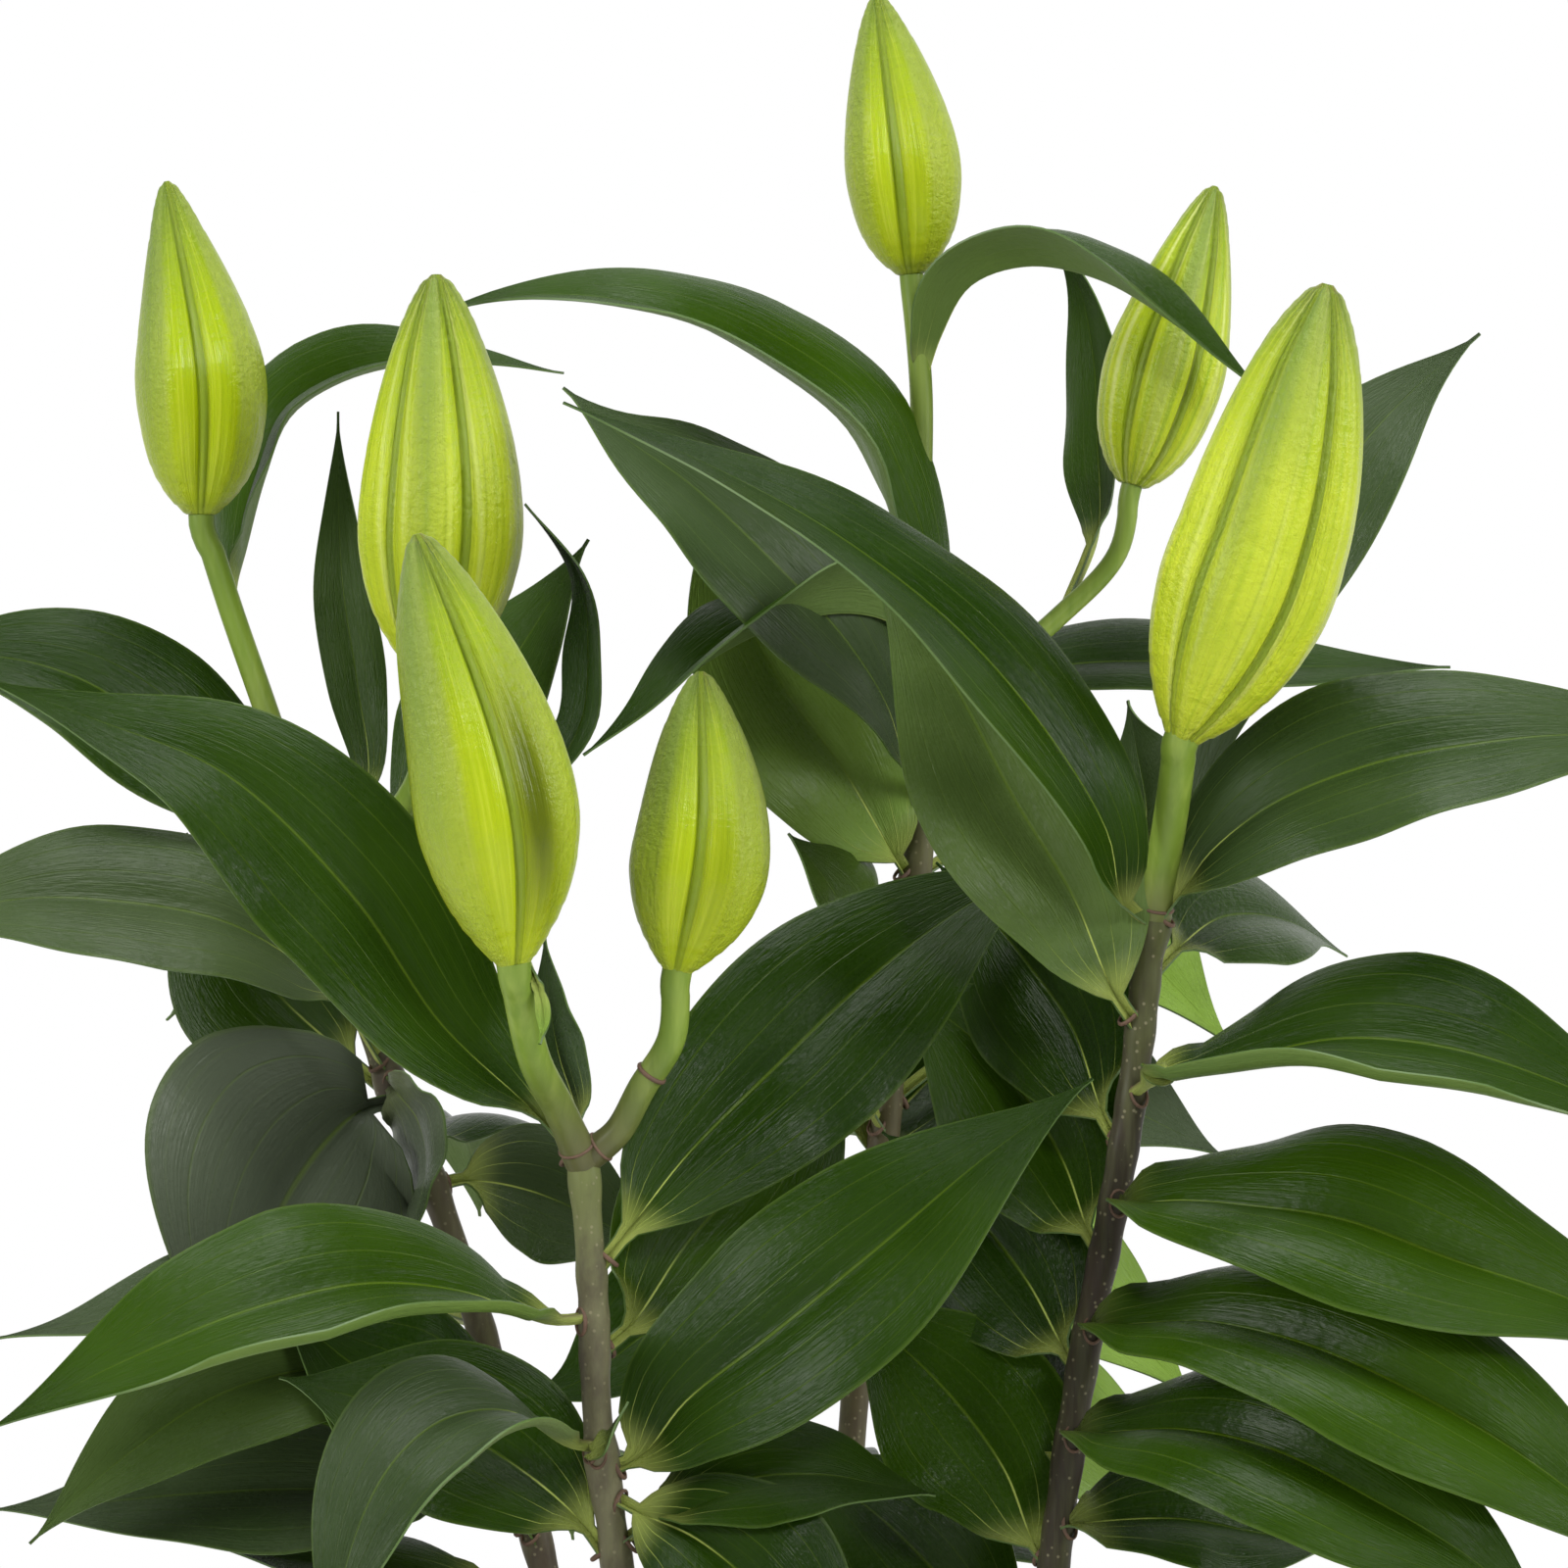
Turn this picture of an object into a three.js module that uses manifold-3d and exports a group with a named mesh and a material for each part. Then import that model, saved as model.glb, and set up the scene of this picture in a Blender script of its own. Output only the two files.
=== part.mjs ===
// A potted lily in bud: four leafy stems with seven closed flower buds, in a plain round pot of soil.
// Millimetres, +Z up. The origin is the centre of the pot's underside.
import * as THREE from "three";
import Module from "manifold-3d";

// Pot: a thin moulded shell with a rolled rim and drain holes round its flat floor
const POT_HEIGHT = 160;
const POT_BASE_RADIUS = 70;
const POT_RIM_RADIUS = 95;
const POT_WALL = 2.2;
const POT_FLOOR = 3;
const RIM_BAND_HEIGHT = 20;
const RIM_BAND_STEP = 3;
const POT_SIDES = 40;
const DRAIN_COUNT = 6;
const DRAIN_RADIUS = 4.5;
const DRAIN_RING_RADIUS = 48;

// Soil: fills the pot to a little below the rim, with a plain hole for each stem
const SOIL_TOP = 145;
const SOIL_CROWN = 3;
const STEM_DEPTH = 26;
const CLEARANCE = 0.3;

// Stems and leaves
const STEM_FOOT_RADIUS = 3.2;
const STEM_TOP_RADIUS = 2.9;
const STEM_SIDES = 8;
const STEM_STEP = 26;
const STALK_STEPS = 5;
const LEAF_THICKNESS = 0.9;
const LONG_LEAF = 105;
const LEAF_STALK_HALF_WIDTH = 2.1;
const TIP_HALF_WIDTH = 0.45;

// Buds: radius along the bud as a share of its greatest radius
const BUD_SIDES = 10;
const BUD_PROFILE = [
  [0, 0.24], [0.02, 0.37], [0.06, 0.56], [0.13, 0.77], [0.22, 0.91], [0.36, 1], [0.5, 0.95],
  [0.64, 0.82], [0.76, 0.66], [0.86, 0.48], [0.93, 0.32], [0.98, 0.17], [1, 0.06],
];

// Places on the plant are laid out as [across, up, depth]: across and up as they are seen
// in the front plane, and then carried back to their depth along the line of sight.
const EYE_X = -10;
const EYE_Z = 450;
const EYE_DISTANCE = 1300;
const FRONT_PLANE = -35;

const LEAF_COLOUR = 0x35661f;
const BUD_COLOUR = 0xb2c42c;
const POT_COLOUR = 0xa85a3a;
const SOIL_COLOUR = 0x3a2a20;

// Stems: from the soil up to where the flower stalks part
const STEMS = {
  front_left: [
    [-30, 146, -30], [-36, 218, -37], [-44, 290, -43], [-48, 320, -45], [-49, 346, -47],
    [-51, 373, -48],
  ],
  front_right: [
    [32, 146, -26], [38, 218, -30], [45, 290, -34], [51, 332, -36], [58, 368, -38], [62, 394, -38],
    [65, 422, -38],
  ],
  back_middle: [
    [-2, 162, 38], [0, 230, 42], [4, 319, 46], [11, 384, 48], [18, 442, 48], [21, 472, 48],
  ],
  back_left: [
    [-26, 162, 34], [-40, 220, 42], [-58, 286, 50], [-71, 336, 55], [-82, 369, 58], [-91, 391, 60],
    [-104, 430, 62],
  ],
};

// Flower stalks: radius and line
const STALKS = {
  bud_1: { radius: 2.7, line: [
    [-104, 430, 62], [-115, 463, 62], [-123, 486, 61], [-129, 505, 60],
  ] },
  bud_2: { radius: 3.0, line: [
    [-104, 430, 62], [-94, 438, 50], [-84, 452, 32], [-82, 472, 18],
  ] },
  bud_3: { radius: 3.3, line: [
    [-51, 373, -48], [-56, 384, -55], [-61, 394, -64], [-65, 412, -74],
  ] },
  bud_4: { radius: 2.9, line: [
    [-50, 374, -48], [-44, 379, -50], [-39, 388, -53], [-33, 398, -56], [-32, 411, -58],
  ] },
  bud_5: { radius: 2.5, line: [
    [21, 472, 48], [19, 490, 48], [18, 508, 47], [18, 530, 46], [16, 554, 46],
  ] },
  bud_6: { radius: 2.2, line: [
    [21, 472, 48], [34, 475, 52], [47, 485, 54], [58, 497, 54], [61, 511, 54],
  ] },
  bud_7: { radius: 3.5, line: [
    [65, 422, -38], [67, 432, -41], [69, 444, -46], [71, 459, -52],
  ] },
};

// Buds: greatest radius, how much slimmer than the common outline the foot and the tip are,
// and the line from foot to tip
const BUDS = {
  bud_1: { radius: 14.0, foot: 0, taper: 0.16, line: [[-129, 505, 60], [-129, 532, 59], [-136, 573, 58]] },
  bud_2: { radius: 17.3, foot: 0.2, taper: 0, line: [[-82, 472, 18], [-80, 506, 16], [-81, 554, 15]] },
  bud_3: { radius: 16.6, foot: 0.4, taper: 0, line: [[-65, 412, -74], [-70, 449, -78], [-85, 501, -84]] },
  bud_4: { radius: 13.8, foot: 0.35, taper: 0, line: [[-32, 411, -58], [-27, 438, -59], [-27, 473, -60]] },
  bud_5: { radius: 12.4, foot: 0, taper: 0.05, line: [[16, 554, 46], [14, 577, 45], [9, 611, 44]] },
  bud_6: { radius: 13.0, foot: 0, taper: 0.1, line: [[61, 511, 54], [68, 536, 55], [78, 572, 56]] },
  bud_7: { radius: 17.6, foot: 0.25, taper: -0.12, line: [[71, 459, -52], [87, 498, -56], [101, 552, -62]] },
};

// One leaf: where it leaves its stem (null: its line starts on a flower stalk or at another
// leaf's foot), its greatest width, how far its upper face is turned to the front at foot,
// middle and tip, the rise of each half from the midrib in degrees, its midrib, the curl of
// its near edge in degrees, and the share of its length at which it is widest.
function blade(at, width, face, fold, line, curl = 0, peak = 0.42) {
  return { at, width, face, fold, line, curl, peak };
}

const FRONT_LEFT_LEAVES = [
  blade(371, 42, [40, 62, 50], 12, [
    [-60, 382, -44], [-80, 401, -40], [-98, 427, -36], [-124, 452, -32], [-150, 463, -30],
    [-175, 472, -30]
  ]),
  blade(350, 44, [70, 62, 50], 10, [
    [-41, 360, -46], [-30, 374, -40], [-12, 392, -32], [7, 410, -20], [27, 425, -6], [48, 436, 8]
  ]),
  blade(333, 42, [70, 65, 60], 10, [
    [-41, 340, -40], [-30, 356, -26], [-16, 372, -16], [-4, 390, -8], [4, 404, -2]
  ]),
  blade(340, 43, [14, 46, 44], 10, [
    [-58, 340, -52], [-74, 346, -62], [-95, 348, -72], [-118, 343, -80], [-143, 333, -86],
    [-173, 318, -90]
  ], 120),
  blade(309, 45, [70, 66, 60], 10, [
    [-39, 313, -46], [-30, 324, -52], [-12, 338, -60], [10, 356, -64], [30, 373, -62],
    [53, 390, -56]
  ]),
  blade(314, 30, [12, 48, 58], 10, [
    [-54, 315, -52], [-66, 322, -64], [-80, 320, -76], [-91, 310, -86], [-99, 292, -92],
    [-103, 267, -94]
  ], 120),
  blade(289, 40, [60, 62, 60], 10, [
    [-52, 300, -42], [-65, 311, -34], [-81, 320, -28], [-98, 325, -24], [-113, 329, -22]
  ]),
  blade(305, 40, [50, 60, 60], 12, [
    [-39, 301, -48], [-28, 296, -52], [-16, 286, -56], [-6, 272, -58], [0, 254, -58]
  ]),
  blade(293, 32, [30, 42, 30], 12, [
    [-34, 301, -46], [-18, 308, -46], [-2, 309, -46], [10, 307, -46], [21, 305, -46]
  ]),
  blade(367, 16, [60, 60, 60], 14, [[-52, 382, -38], [-56, 395, -30], [-58, 407, -26], [-59, 419, -24]]),
  blade(313, 9, [60, 60, 60], 10, [[-49, 314, -52], [-46, 316, -54], [-44, 320, -54], [-42, 324, -53]]),
  blade(262, 40, [30, 35, 30], 10, [
    [-46, 268, -50], [-66, 272, -66], [-90, 262, -78], [-108, 244, -84]
  ]),
  blade(232, 38, [30, 35, 30], 10, [[-30, 238, -52], [-16, 240, -70], [-4, 228, -86], [4, 208, -96]]),
  blade(205, 36, [30, 35, 30], 10, [
    [-46, 212, -38], [-66, 214, -44], [-88, 206, -48], [-106, 192, -50]
  ]),
  blade(182, 30, [30, 35, 30], 10, [[-36, 190, -48], [-42, 192, -64], [-48, 187, -80], [-54, 178, -94]]),
];

const FRONT_RIGHT_LEAVES = [
  blade(420, 38, [60, 40, 30], 10, [
    [59, 426, -46], [56, 440, -54], [44, 460, -60], [26, 481, -62], [2, 500, -60], [-23, 514, -56],
    [-55, 528, -52]
  ], 40),
  blade(400, 44, [70, 62, 60], 12, [
    [57, 408, -42], [49, 427, -40], [37, 447, -34], [26, 468, -28], [15, 486, -24], [6, 498, -22]
  ]),
  blade(422, 28, [50, 60, 60], 12, [[63, 433, -26], [64, 445, -14], [62, 457, -4], [60, 467, 2]]),
  blade(419, 42, [60, 52, 42], 12, [
    [72, 429, -42], [77, 436, -46], [90, 446, -52], [110, 454, -56], [130, 458, -58],
    [154, 460, -58], [183, 456, -56]
  ]),
  blade(409, 36, [40, 44, 40], 12, [[71, 417, -20], [80, 423, 0], [93, 422, 20], [105, 415, 34]]),
  blade(386, 45, [14, 42, 40], 10, [
    [66, 389, -46], [84, 394, -56], [104, 398, -64], [126, 396, -70], [148, 389, -74],
    [176, 376, -76]
  ], 120),
  blade(null, 7, [40, 40, 40], 10, [[72, 391, -50], [69, 390, -50], [66, 391, -50], [63, 393, -48]]),
  blade(364, 48, [20, 46, 44], 10, [
    [60, 364, -47], [70, 365, -54], [84, 364, -63], [104, 361, -72], [126, 353, -78],
    [150, 345, -82], [178, 332, -84]
  ]),
  blade(339, 46, [20, 44, 44], 10, [
    [54, 339, -46], [65, 340, -54], [78, 340, -63], [98, 335, -74], [118, 326, -84],
    [139, 314, -90], [160, 298, -92], [176, 282, -92]
  ]),
  blade(316, 44, [20, 46, 44], 10, [
    [51, 317, -46], [61, 318, -54], [73, 318, -65], [90, 314, -78], [110, 304, -88],
    [130, 292, -94], [150, 275, -96]
  ]),
  blade(298, 36, [30, 40, 30], 8, [[50, 299, -38], [70, 300, -34], [88, 297, -28], [106, 295, -22]]),
  blade(376, 40, [60, 62, 60], 12, [
    [55, 383, -30], [49, 400, -14], [40, 413, 0], [30, 425, 14], [21, 434, 24]
  ]),
  blade(353, 44, [60, 62, 60], 12, [
    [52, 359, -28], [47, 373, -14], [38, 388, -4], [25, 401, 4], [10, 410, 10]
  ]),
  blade(330, 42, [60, 62, 60], 12, [
    [47, 335, -26], [40, 348, -14], [31, 360, -4], [21, 371, 6], [10, 379, 12]
  ]),
  blade(310, 34, [60, 60, 60], 12, [[44, 316, -20], [39, 328, -2], [31, 341, 14], [21, 352, 26]]),
  blade(290, 42, [60, 66, 60], 12, [
    [41, 295, -30], [35, 310, -22], [25, 324, -16], [13, 336, -12], [0, 346, -10]
  ]),
  blade(264, 40, [60, 60, 60], 12, [
    [34, 274, -22], [22, 288, -8], [10, 300, 4], [-1, 308, 12], [-10, 313, 18]
  ]),
  blade(421, 32, [60, 55, 50], 14, [
    [70, 440, -28], [78, 469, -24], [90, 494, -18], [107, 518, -12], [118, 530, -8], [132, 542, -6]
  ], 0, 0.55),
  blade(262, 40, [30, 35, 30], 10, [[50, 268, -46], [68, 272, -66], [88, 264, -82], [104, 248, -92]]),
  blade(240, 38, [30, 35, 30], 10, [[54, 244, -26], [80, 246, -22], [106, 236, -18], [126, 218, -16]]),
  blade(210, 34, [30, 35, 30], 10, [[42, 218, -44], [46, 220, -64], [50, 213, -84], [54, 200, -102]]),
  blade(185, 30, [30, 35, 30], 10, [[50, 194, -34], [68, 196, -40], [86, 190, -44], [102, 180, -46]]),
];

const BACK_MIDDLE_LEAVES = [
  blade(470, 36, [-24, -10, 14], 34, [
    [18, 478, 36], [10, 484, 22], [-1, 485, 12], [-15, 481, 4], [-29, 473, -2], [-40, 464, -6],
    [-51, 456, -8]
  ]),
  blade(429, 50, [70, 68, 60], 10, [
    [12, 436, 44], [2, 453, 38], [-9, 468, 36], [-18, 484, 36], [-23, 498, 38], [-24, 511, 40]
  ]),
  blade(406, 44, [60, 60, 60], 12, [[9, 412, 34], [4, 421, 26], [-2, 431, 22], [-9, 440, 20]], 0, 0.5),
  blade(448, 46, [70, 66, 60], 8, [
    [15, 453, 36], [11, 466, 26], [2, 480, 16], [-12, 495, 8], [-29, 511, 4], [-43, 521, 2],
    [-55, 531, 2]
  ], 0, 0.55),
  blade(472, 46, [44, 28, 26], 18, [
    [20, 480, 42], [16, 496, 38], [9, 512, 32], [2, 524, 26], [-12, 535, 22], [-30, 545, 16],
    [-45, 549, 15], [-58, 550, 19], [-70, 549, 25], [-82, 546, 30]
  ], 50),
  blade(464, 34, [20, 32, 25], 8, [
    [30, 469, 58], [46, 474, 66], [66, 475, 72], [88, 474, 76], [106, 474, 78], [126, 474, 78]
  ]),
  blade(342, 36, [50, 50, 50], 12, [
    [-4, 352, 38], [-20, 350, 28], [-38, 338, 20], [-52, 328, 14], [-64, 324, 10]
  ]),
  blade(430, 42, [50, 55, 50], 12, [[28, 436, 56], [42, 432, 62], [60, 418, 64], [82, 396, 60]]),
  blade(384, 40, [50, 50, 40], 12, [[26, 394, 54], [44, 392, 60], [64, 382, 60], [80, 374, 56]]),
  blade(354, 40, [50, 50, 50], 12, [[22, 360, 52], [40, 354, 56], [58, 340, 58], [74, 324, 56]]),
  blade(330, 40, [50, 50, 50], 12, [[20, 332, 56], [40, 324, 62], [60, 308, 64], [76, 290, 62]]),
  blade(null, 32, [-12, 8, 24], 34, [
    [18, 529, 46], [19, 533, 45], [22, 542, 44], [28, 552, 40], [40, 556, 36], [55, 553, 32],
    [70, 544, 28], [88, 530, 24]
  ]),
  blade(null, 20, [60, 60, 50], 14, [
    [48, 486, 54], [54, 501, 65], [54, 520, 76], [53, 538, 82], [50, 552, 82], [44, 563, 80]
  ]),
  blade(436, 40, [60, 60, 60], 10, [[23, 444, 52], [32, 456, 58], [42, 470, 62]]),
  blade(366, 44, [65, 65, 65], 10, [[9, 376, 50], [18, 388, 60], [30, 398, 66], [42, 406, 68]]),
  blade(378, 40, [60, 60, 60], 10, [[6, 386, 40], [1, 398, 34], [-4, 408, 30]]),
  blade(290, 40, [30, 35, 30], 10, [[22, 296, 60], [36, 298, 80], [48, 288, 98], [58, 270, 110]]),
  blade(262, 38, [30, 35, 30], 10, [[20, 266, 46], [46, 266, 50], [74, 254, 54], [98, 236, 56]]),
  blade(232, 38, [30, 35, 30], 10, [[-6, 238, 58], [-14, 240, 80], [-20, 228, 98], [-24, 210, 110]]),
  blade(205, 34, [30, 35, 30], 10, [[12, 212, 56], [26, 212, 72], [38, 204, 88], [48, 192, 102]]),
  blade(415, 40, [8, 14, 12], 12, [[24, 421, 66], [30, 425, 88], [37, 419, 110], [44, 405, 128]]),
  blade(370, 38, [8, 14, 12], 12, [[8, 377, 66], [2, 382, 88], [-6, 378, 108], [-16, 366, 126]]),
  blade(335, 40, [8, 14, 12], 12, [[12, 341, 68], [20, 345, 90], [30, 339, 112], [40, 325, 130]]),
  blade(302, 38, [8, 14, 12], 12, [[2, 306, 66], [-6, 308, 88], [-16, 301, 110], [-28, 286, 126]]),
];

const BACK_LEFT_LEAVES = [
  blade(418, 40, [50, 55, 50], 12, [
    [-113, 440, 62], [-135, 459, 60], [-155, 472, 58], [-176, 476, 56], [-196, 469, 54]
  ]),
  blade(390, 44, [40, 47, 42], 10, [
    [-103, 408, 50], [-122, 421, 44], [-146, 426, 40], [-170, 426, 36], [-196, 417, 34]
  ]),
  blade(386, 44, [70, 70, 70], 10, [[-100, 395, 66], [-114, 408, 76], [-125, 424, 84], [-132, 440, 88]]),
  blade(386, 80, [78, 74, 70], 4, [
    [-97, 383, 50], [-106, 374, 42], [-114, 361, 34], [-120, 346, 28], [-124, 328, 24]
  ], 0, 0.35),
  blade(390, 34, [85, 85, 85], 4, [
    [-89, 387, 50], [-85, 382, 48], [-83, 374, 46], [-84, 366, 44], [-87, 356, 42]
  ], 0, 0.4),
  blade(368, 36, [60, 60, 60], 10, [[-74, 369, 62], [-62, 367, 66], [-48, 361, 70], [-36, 354, 72]]),
  blade(348, 30, [20, 25, 25], 14, [
    [-90, 350, 40], [-110, 348, 24], [-132, 345, 12], [-152, 340, 6], [-171, 337, 2]
  ]),
  blade(326, 34, [30, 50, 55], 14, [
    [-84, 331, 40], [-104, 331, 28], [-126, 325, 16], [-148, 310, 6], [-164, 295, 0]
  ]),
  blade(298, 36, [40, 48, 40], 8, [
    [-82, 305, 40], [-108, 306, 30], [-132, 305, 24], [-154, 303, 20], [-172, 302, 18]
  ]),
  blade(280, 28, [20, 25, 20], 12, [[-74, 287, 44], [-94, 290, 38], [-112, 292, 34], [-130, 296, 32]]),
  blade(429, 14.5, [0, 0, 0], 10, [
    [-95, 450, 66], [-97, 470, 70], [-100, 490, 73], [-101, 510, 75], [-101, 526, 76]
  ]),
  blade(424, 38, [60, 60, 60], 12, [[-86, 440, 52], [-74, 462, 50], [-61, 482, 50], [-50, 500, 50]]),
  blade(null, 15, [40, 50, 30], 20, [
    [-84, 456, 30], [-78, 451, 27], [-64, 447, 24], [-52, 461, 20], [-50, 478, 20], [-52, 493, 22],
    [-63, 507, 26]
  ]),
  blade(294, 46, [70, 70, 70], 10, [[-70, 310, 36], [-84, 322, 28], [-100, 333, 22], [-114, 345, 18]]),
  blade(310, 36, [60, 60, 60], 10, [[-82, 318, 62], [-104, 324, 68], [-122, 329, 70], [-136, 332, 70]]),
  blade(null, 36, [10, 24, 18], 26, [
    [-122, 486, 62], [-122, 490, 65], [-120, 498, 76], [-116, 513, 84], [-111, 525, 86],
    [-101, 532, 84], [-86, 536, 80], [-70, 536, 74], [-55, 534, 68]
  ]),
  blade(262, 38, [30, 35, 30], 10, [[-66, 268, 54], [-92, 268, 60], [-118, 258, 64], [-140, 242, 66]]),
  blade(238, 38, [30, 35, 30], 10, [[-48, 244, 60], [-46, 246, 84], [-50, 234, 104], [-54, 214, 116]]),
  blade(212, 36, [30, 35, 30], 10, [[-52, 218, 38], [-76, 218, 34], [-100, 208, 30], [-122, 194, 28]]),
  blade(190, 32, [30, 35, 30], 10, [[-38, 196, 54], [-50, 198, 72], [-62, 192, 88], [-74, 182, 102]]),
  blade(405, 38, [8, 14, 12], 12, [
    [-106, 412, 80], [-113, 418, 100], [-123, 414, 119], [-136, 402, 134]
  ]),
  blade(370, 36, [8, 14, 12], 12, [[-84, 377, 80], [-78, 382, 102], [-74, 376, 122], [-72, 362, 138]]),
  blade(338, 38, [8, 14, 12], 12, [[-84, 343, 76], [-96, 347, 98], [-110, 341, 117], [-126, 327, 131]]),
  blade(306, 36, [8, 14, 12], 12, [[-65, 311, 72], [-59, 315, 94], [-55, 309, 114], [-53, 296, 130]]),
];

const LEAFY_STEMS = {
  stem_front_left: { stem: "front_left", stalks: ["bud_3", "bud_4"], leaves: FRONT_LEFT_LEAVES },
  stem_front_right: { stem: "front_right", stalks: ["bud_7"], leaves: FRONT_RIGHT_LEAVES },
  stem_back_middle: { stem: "back_middle", stalks: ["bud_5", "bud_6"], leaves: BACK_MIDDLE_LEAVES },
  stem_back_left: { stem: "back_left", stalks: ["bud_1", "bud_2"], leaves: BACK_LEFT_LEAVES },
};

const wasm = await Module();
wasm.setup();

function radians(degrees) {
  return (degrees * Math.PI) / 180;
}

function clamp(value, low, high) {
  return Math.min(high, Math.max(low, value));
}

function place([across, up, depth]) {
  const k = (EYE_DISTANCE + depth) / (EYE_DISTANCE + FRONT_PLANE);
  return new THREE.Vector3(EYE_X + (across - EYE_X) * k, depth, EYE_Z + (up - EYE_Z) * k);
}

function smoothLine(points) {
  return new THREE.CatmullRomCurve3(points, false, "centripetal");
}

// A solid from its corner points and faces
function solid(points, faces) {
  const vertProperties = new Float32Array(points.flatMap((p) => [p.x, p.y, p.z]));
  const triVerts = new Uint32Array(faces.flat());
  return new wasm.Manifold(new wasm.Mesh({ numProp: 3, vertProperties, triVerts }));
}

// A closed tube through rings of points, with a flat fan at each end
function skin(rings) {
  const sides = rings[0].length;
  const points = rings.flat();
  const faces = [];
  for (let i = 0; i + 1 < rings.length; i += 1) {
    for (let j = 0; j < sides; j += 1) {
      const next = (j + 1) % sides;
      const a = i * sides + j;
      const b = i * sides + next;
      faces.push([a, b, b + sides], [a, b + sides, a + sides]);
    }
  }
  const last = (rings.length - 1) * sides;
  for (let j = 1; j + 1 < sides; j += 1) {
    faces.push([0, j + 1, j], [last, last + j, last + j + 1]);
  }
  return solid(points, faces);
}

function ring(centre, along, radius, sides) {
  const across = new THREE.Vector3(1, 0, 0);
  across.addScaledVector(along, -across.dot(along)).normalize();
  const other = new THREE.Vector3().crossVectors(along, across);
  const points = [];
  for (let j = 0; j < sides; j += 1) {
    const angle = (2 * Math.PI * j) / sides;
    const p = centre.clone();
    p.addScaledVector(across, radius * Math.cos(angle));
    p.addScaledVector(other, radius * Math.sin(angle));
    points.push(p);
  }
  return points;
}

// The stem stands upright in the soil and then follows its line
function stemSolid(line) {
  const up = new THREE.Vector3(0, 0, 1);
  const curve = smoothLine(line);
  const foot = line[0];
  const steps = Math.ceil(curve.getLength() / STEM_STEP);
  const bottom = new THREE.Vector3(foot.x, foot.y, SOIL_TOP - STEM_DEPTH);
  const rings = [ring(bottom, up, STEM_FOOT_RADIUS, STEM_SIDES)];
  const surface = new THREE.Vector3(foot.x, foot.y, SOIL_TOP + SOIL_CROWN);
  rings.push(ring(surface, up, STEM_FOOT_RADIUS, STEM_SIDES));
  for (let i = 1; i <= steps; i += 1) {
    const t = i / steps;
    const radius = STEM_FOOT_RADIUS + (STEM_TOP_RADIUS - STEM_FOOT_RADIUS) * t;
    rings.push(ring(curve.getPointAt(t), curve.getTangentAt(t), radius, STEM_SIDES));
  }
  return skin(rings);
}

// A flower stalk, cut square to the bud that it carries
function stalkSolid({ radius, line }, bud) {
  const curve = smoothLine(line.map(place));
  const rings = [];
  for (let i = 0; i < STALK_STEPS; i += 1) {
    const t = i / STALK_STEPS;
    rings.push(ring(curve.getPointAt(t), curve.getTangentAt(t), radius, STEM_SIDES));
  }
  const seat = smoothLine(bud.line.map(place));
  rings.push(ring(seat.getPointAt(0), seat.getTangentAt(0), radius, STEM_SIDES));
  return skin(rings);
}

function halfWidth(t, leaf, share) {
  const s = clamp((t - share) / (1 - share), 0, 1);
  const power = Math.log(0.5) / Math.log(leaf.peak);
  const outline = Math.sin(Math.PI * s ** power) ** (0.85 + 0.62 * s);
  const stalk = LEAF_STALK_HALF_WIDTH * (1 - clamp((t - share) / 0.2, 0, 1));
  return Math.max((outline * leaf.width) / 2, stalk, TIP_HALF_WIDTH);
}

function turnedFace(t, [foot, middle, tip]) {
  if (t < 0.5) {
    return foot + (middle - foot) * 2 * t;
  }
  return middle + (tip - middle) * (2 * t - 1);
}

// One half of a leaf's cross-section: how far its edge lies out and up from the midrib
function halfSection(t, leaf, near) {
  const pieces = 4;
  let out = 0;
  let up = 0;
  for (let j = 0; j < pieces; j += 1) {
    const u = (j + 0.5) / pieces;
    let bend = leaf.fold * (1 - 0.4 * t);
    if (near) {
      bend += leaf.curl * clamp(2 * u - 1, 0, 1) ** 1.5 * Math.min(1, 3 * (1 - t));
    }
    out += Math.cos(radians(bend)) / pieces;
    up += Math.sin(radians(bend)) / pieces;
  }
  return [out, up];
}

// A leaf: an arched blade folded along its midrib. The first stretch of its line, which starts
// in the middle of its stem or flower stalk, is a narrow leaf stalk.
function leafSolid(leaf, stemLine) {
  const points = leaf.line.map(place);
  if (leaf.at !== null) {
    points.unshift(stemPoint(stemLine, leaf.at));
  }
  const curve = smoothLine(points);
  const length = curve.getLength();
  const share = (0.8 * points[0].distanceTo(points[1])) / length;
  const steps = length > LONG_LEAF ? 7 : 5;
  const heading = points[points.length - 1].clone().sub(points[0]).setZ(0).normalize();
  const sign = heading.x >= 0 ? 1 : -1;
  const level = new THREE.Vector3().crossVectors(heading, new THREE.Vector3(0, 0, 1));
  const rings = [];
  for (let i = -1; i <= steps; i += 1) {
    const t = i < 0 ? 0 : share + (1 - share) * (i / steps);
    const along = curve.getTangentAt(t);
    const side = level.clone().addScaledVector(along, -level.dot(along)).normalize();
    const turn = radians(turnedFace(t, leaf.face)) * sign;
    side.applyAxisAngle(along, turn);
    const normal = new THREE.Vector3().crossVectors(side, along);
    const half = halfWidth(t, leaf, share);
    const row = [];
    for (const way of [-1, 0, 1]) {
      const p = curve.getPointAt(t);
      if (way !== 0) {
        const [out, up] = halfSection(t, leaf, way === sign);
        p.addScaledVector(side, way * out * half).addScaledVector(normal, up * half);
      }
      row.push(p);
    }
    const lift = normal.multiplyScalar(LEAF_THICKNESS / 2);
    const upper = row.map((p) => p.clone().add(lift));
    const under = row.map((p) => p.clone().sub(lift));
    rings.push([...upper, ...under.reverse()]);
  }
  return bladeSkin(rings);
}

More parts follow.
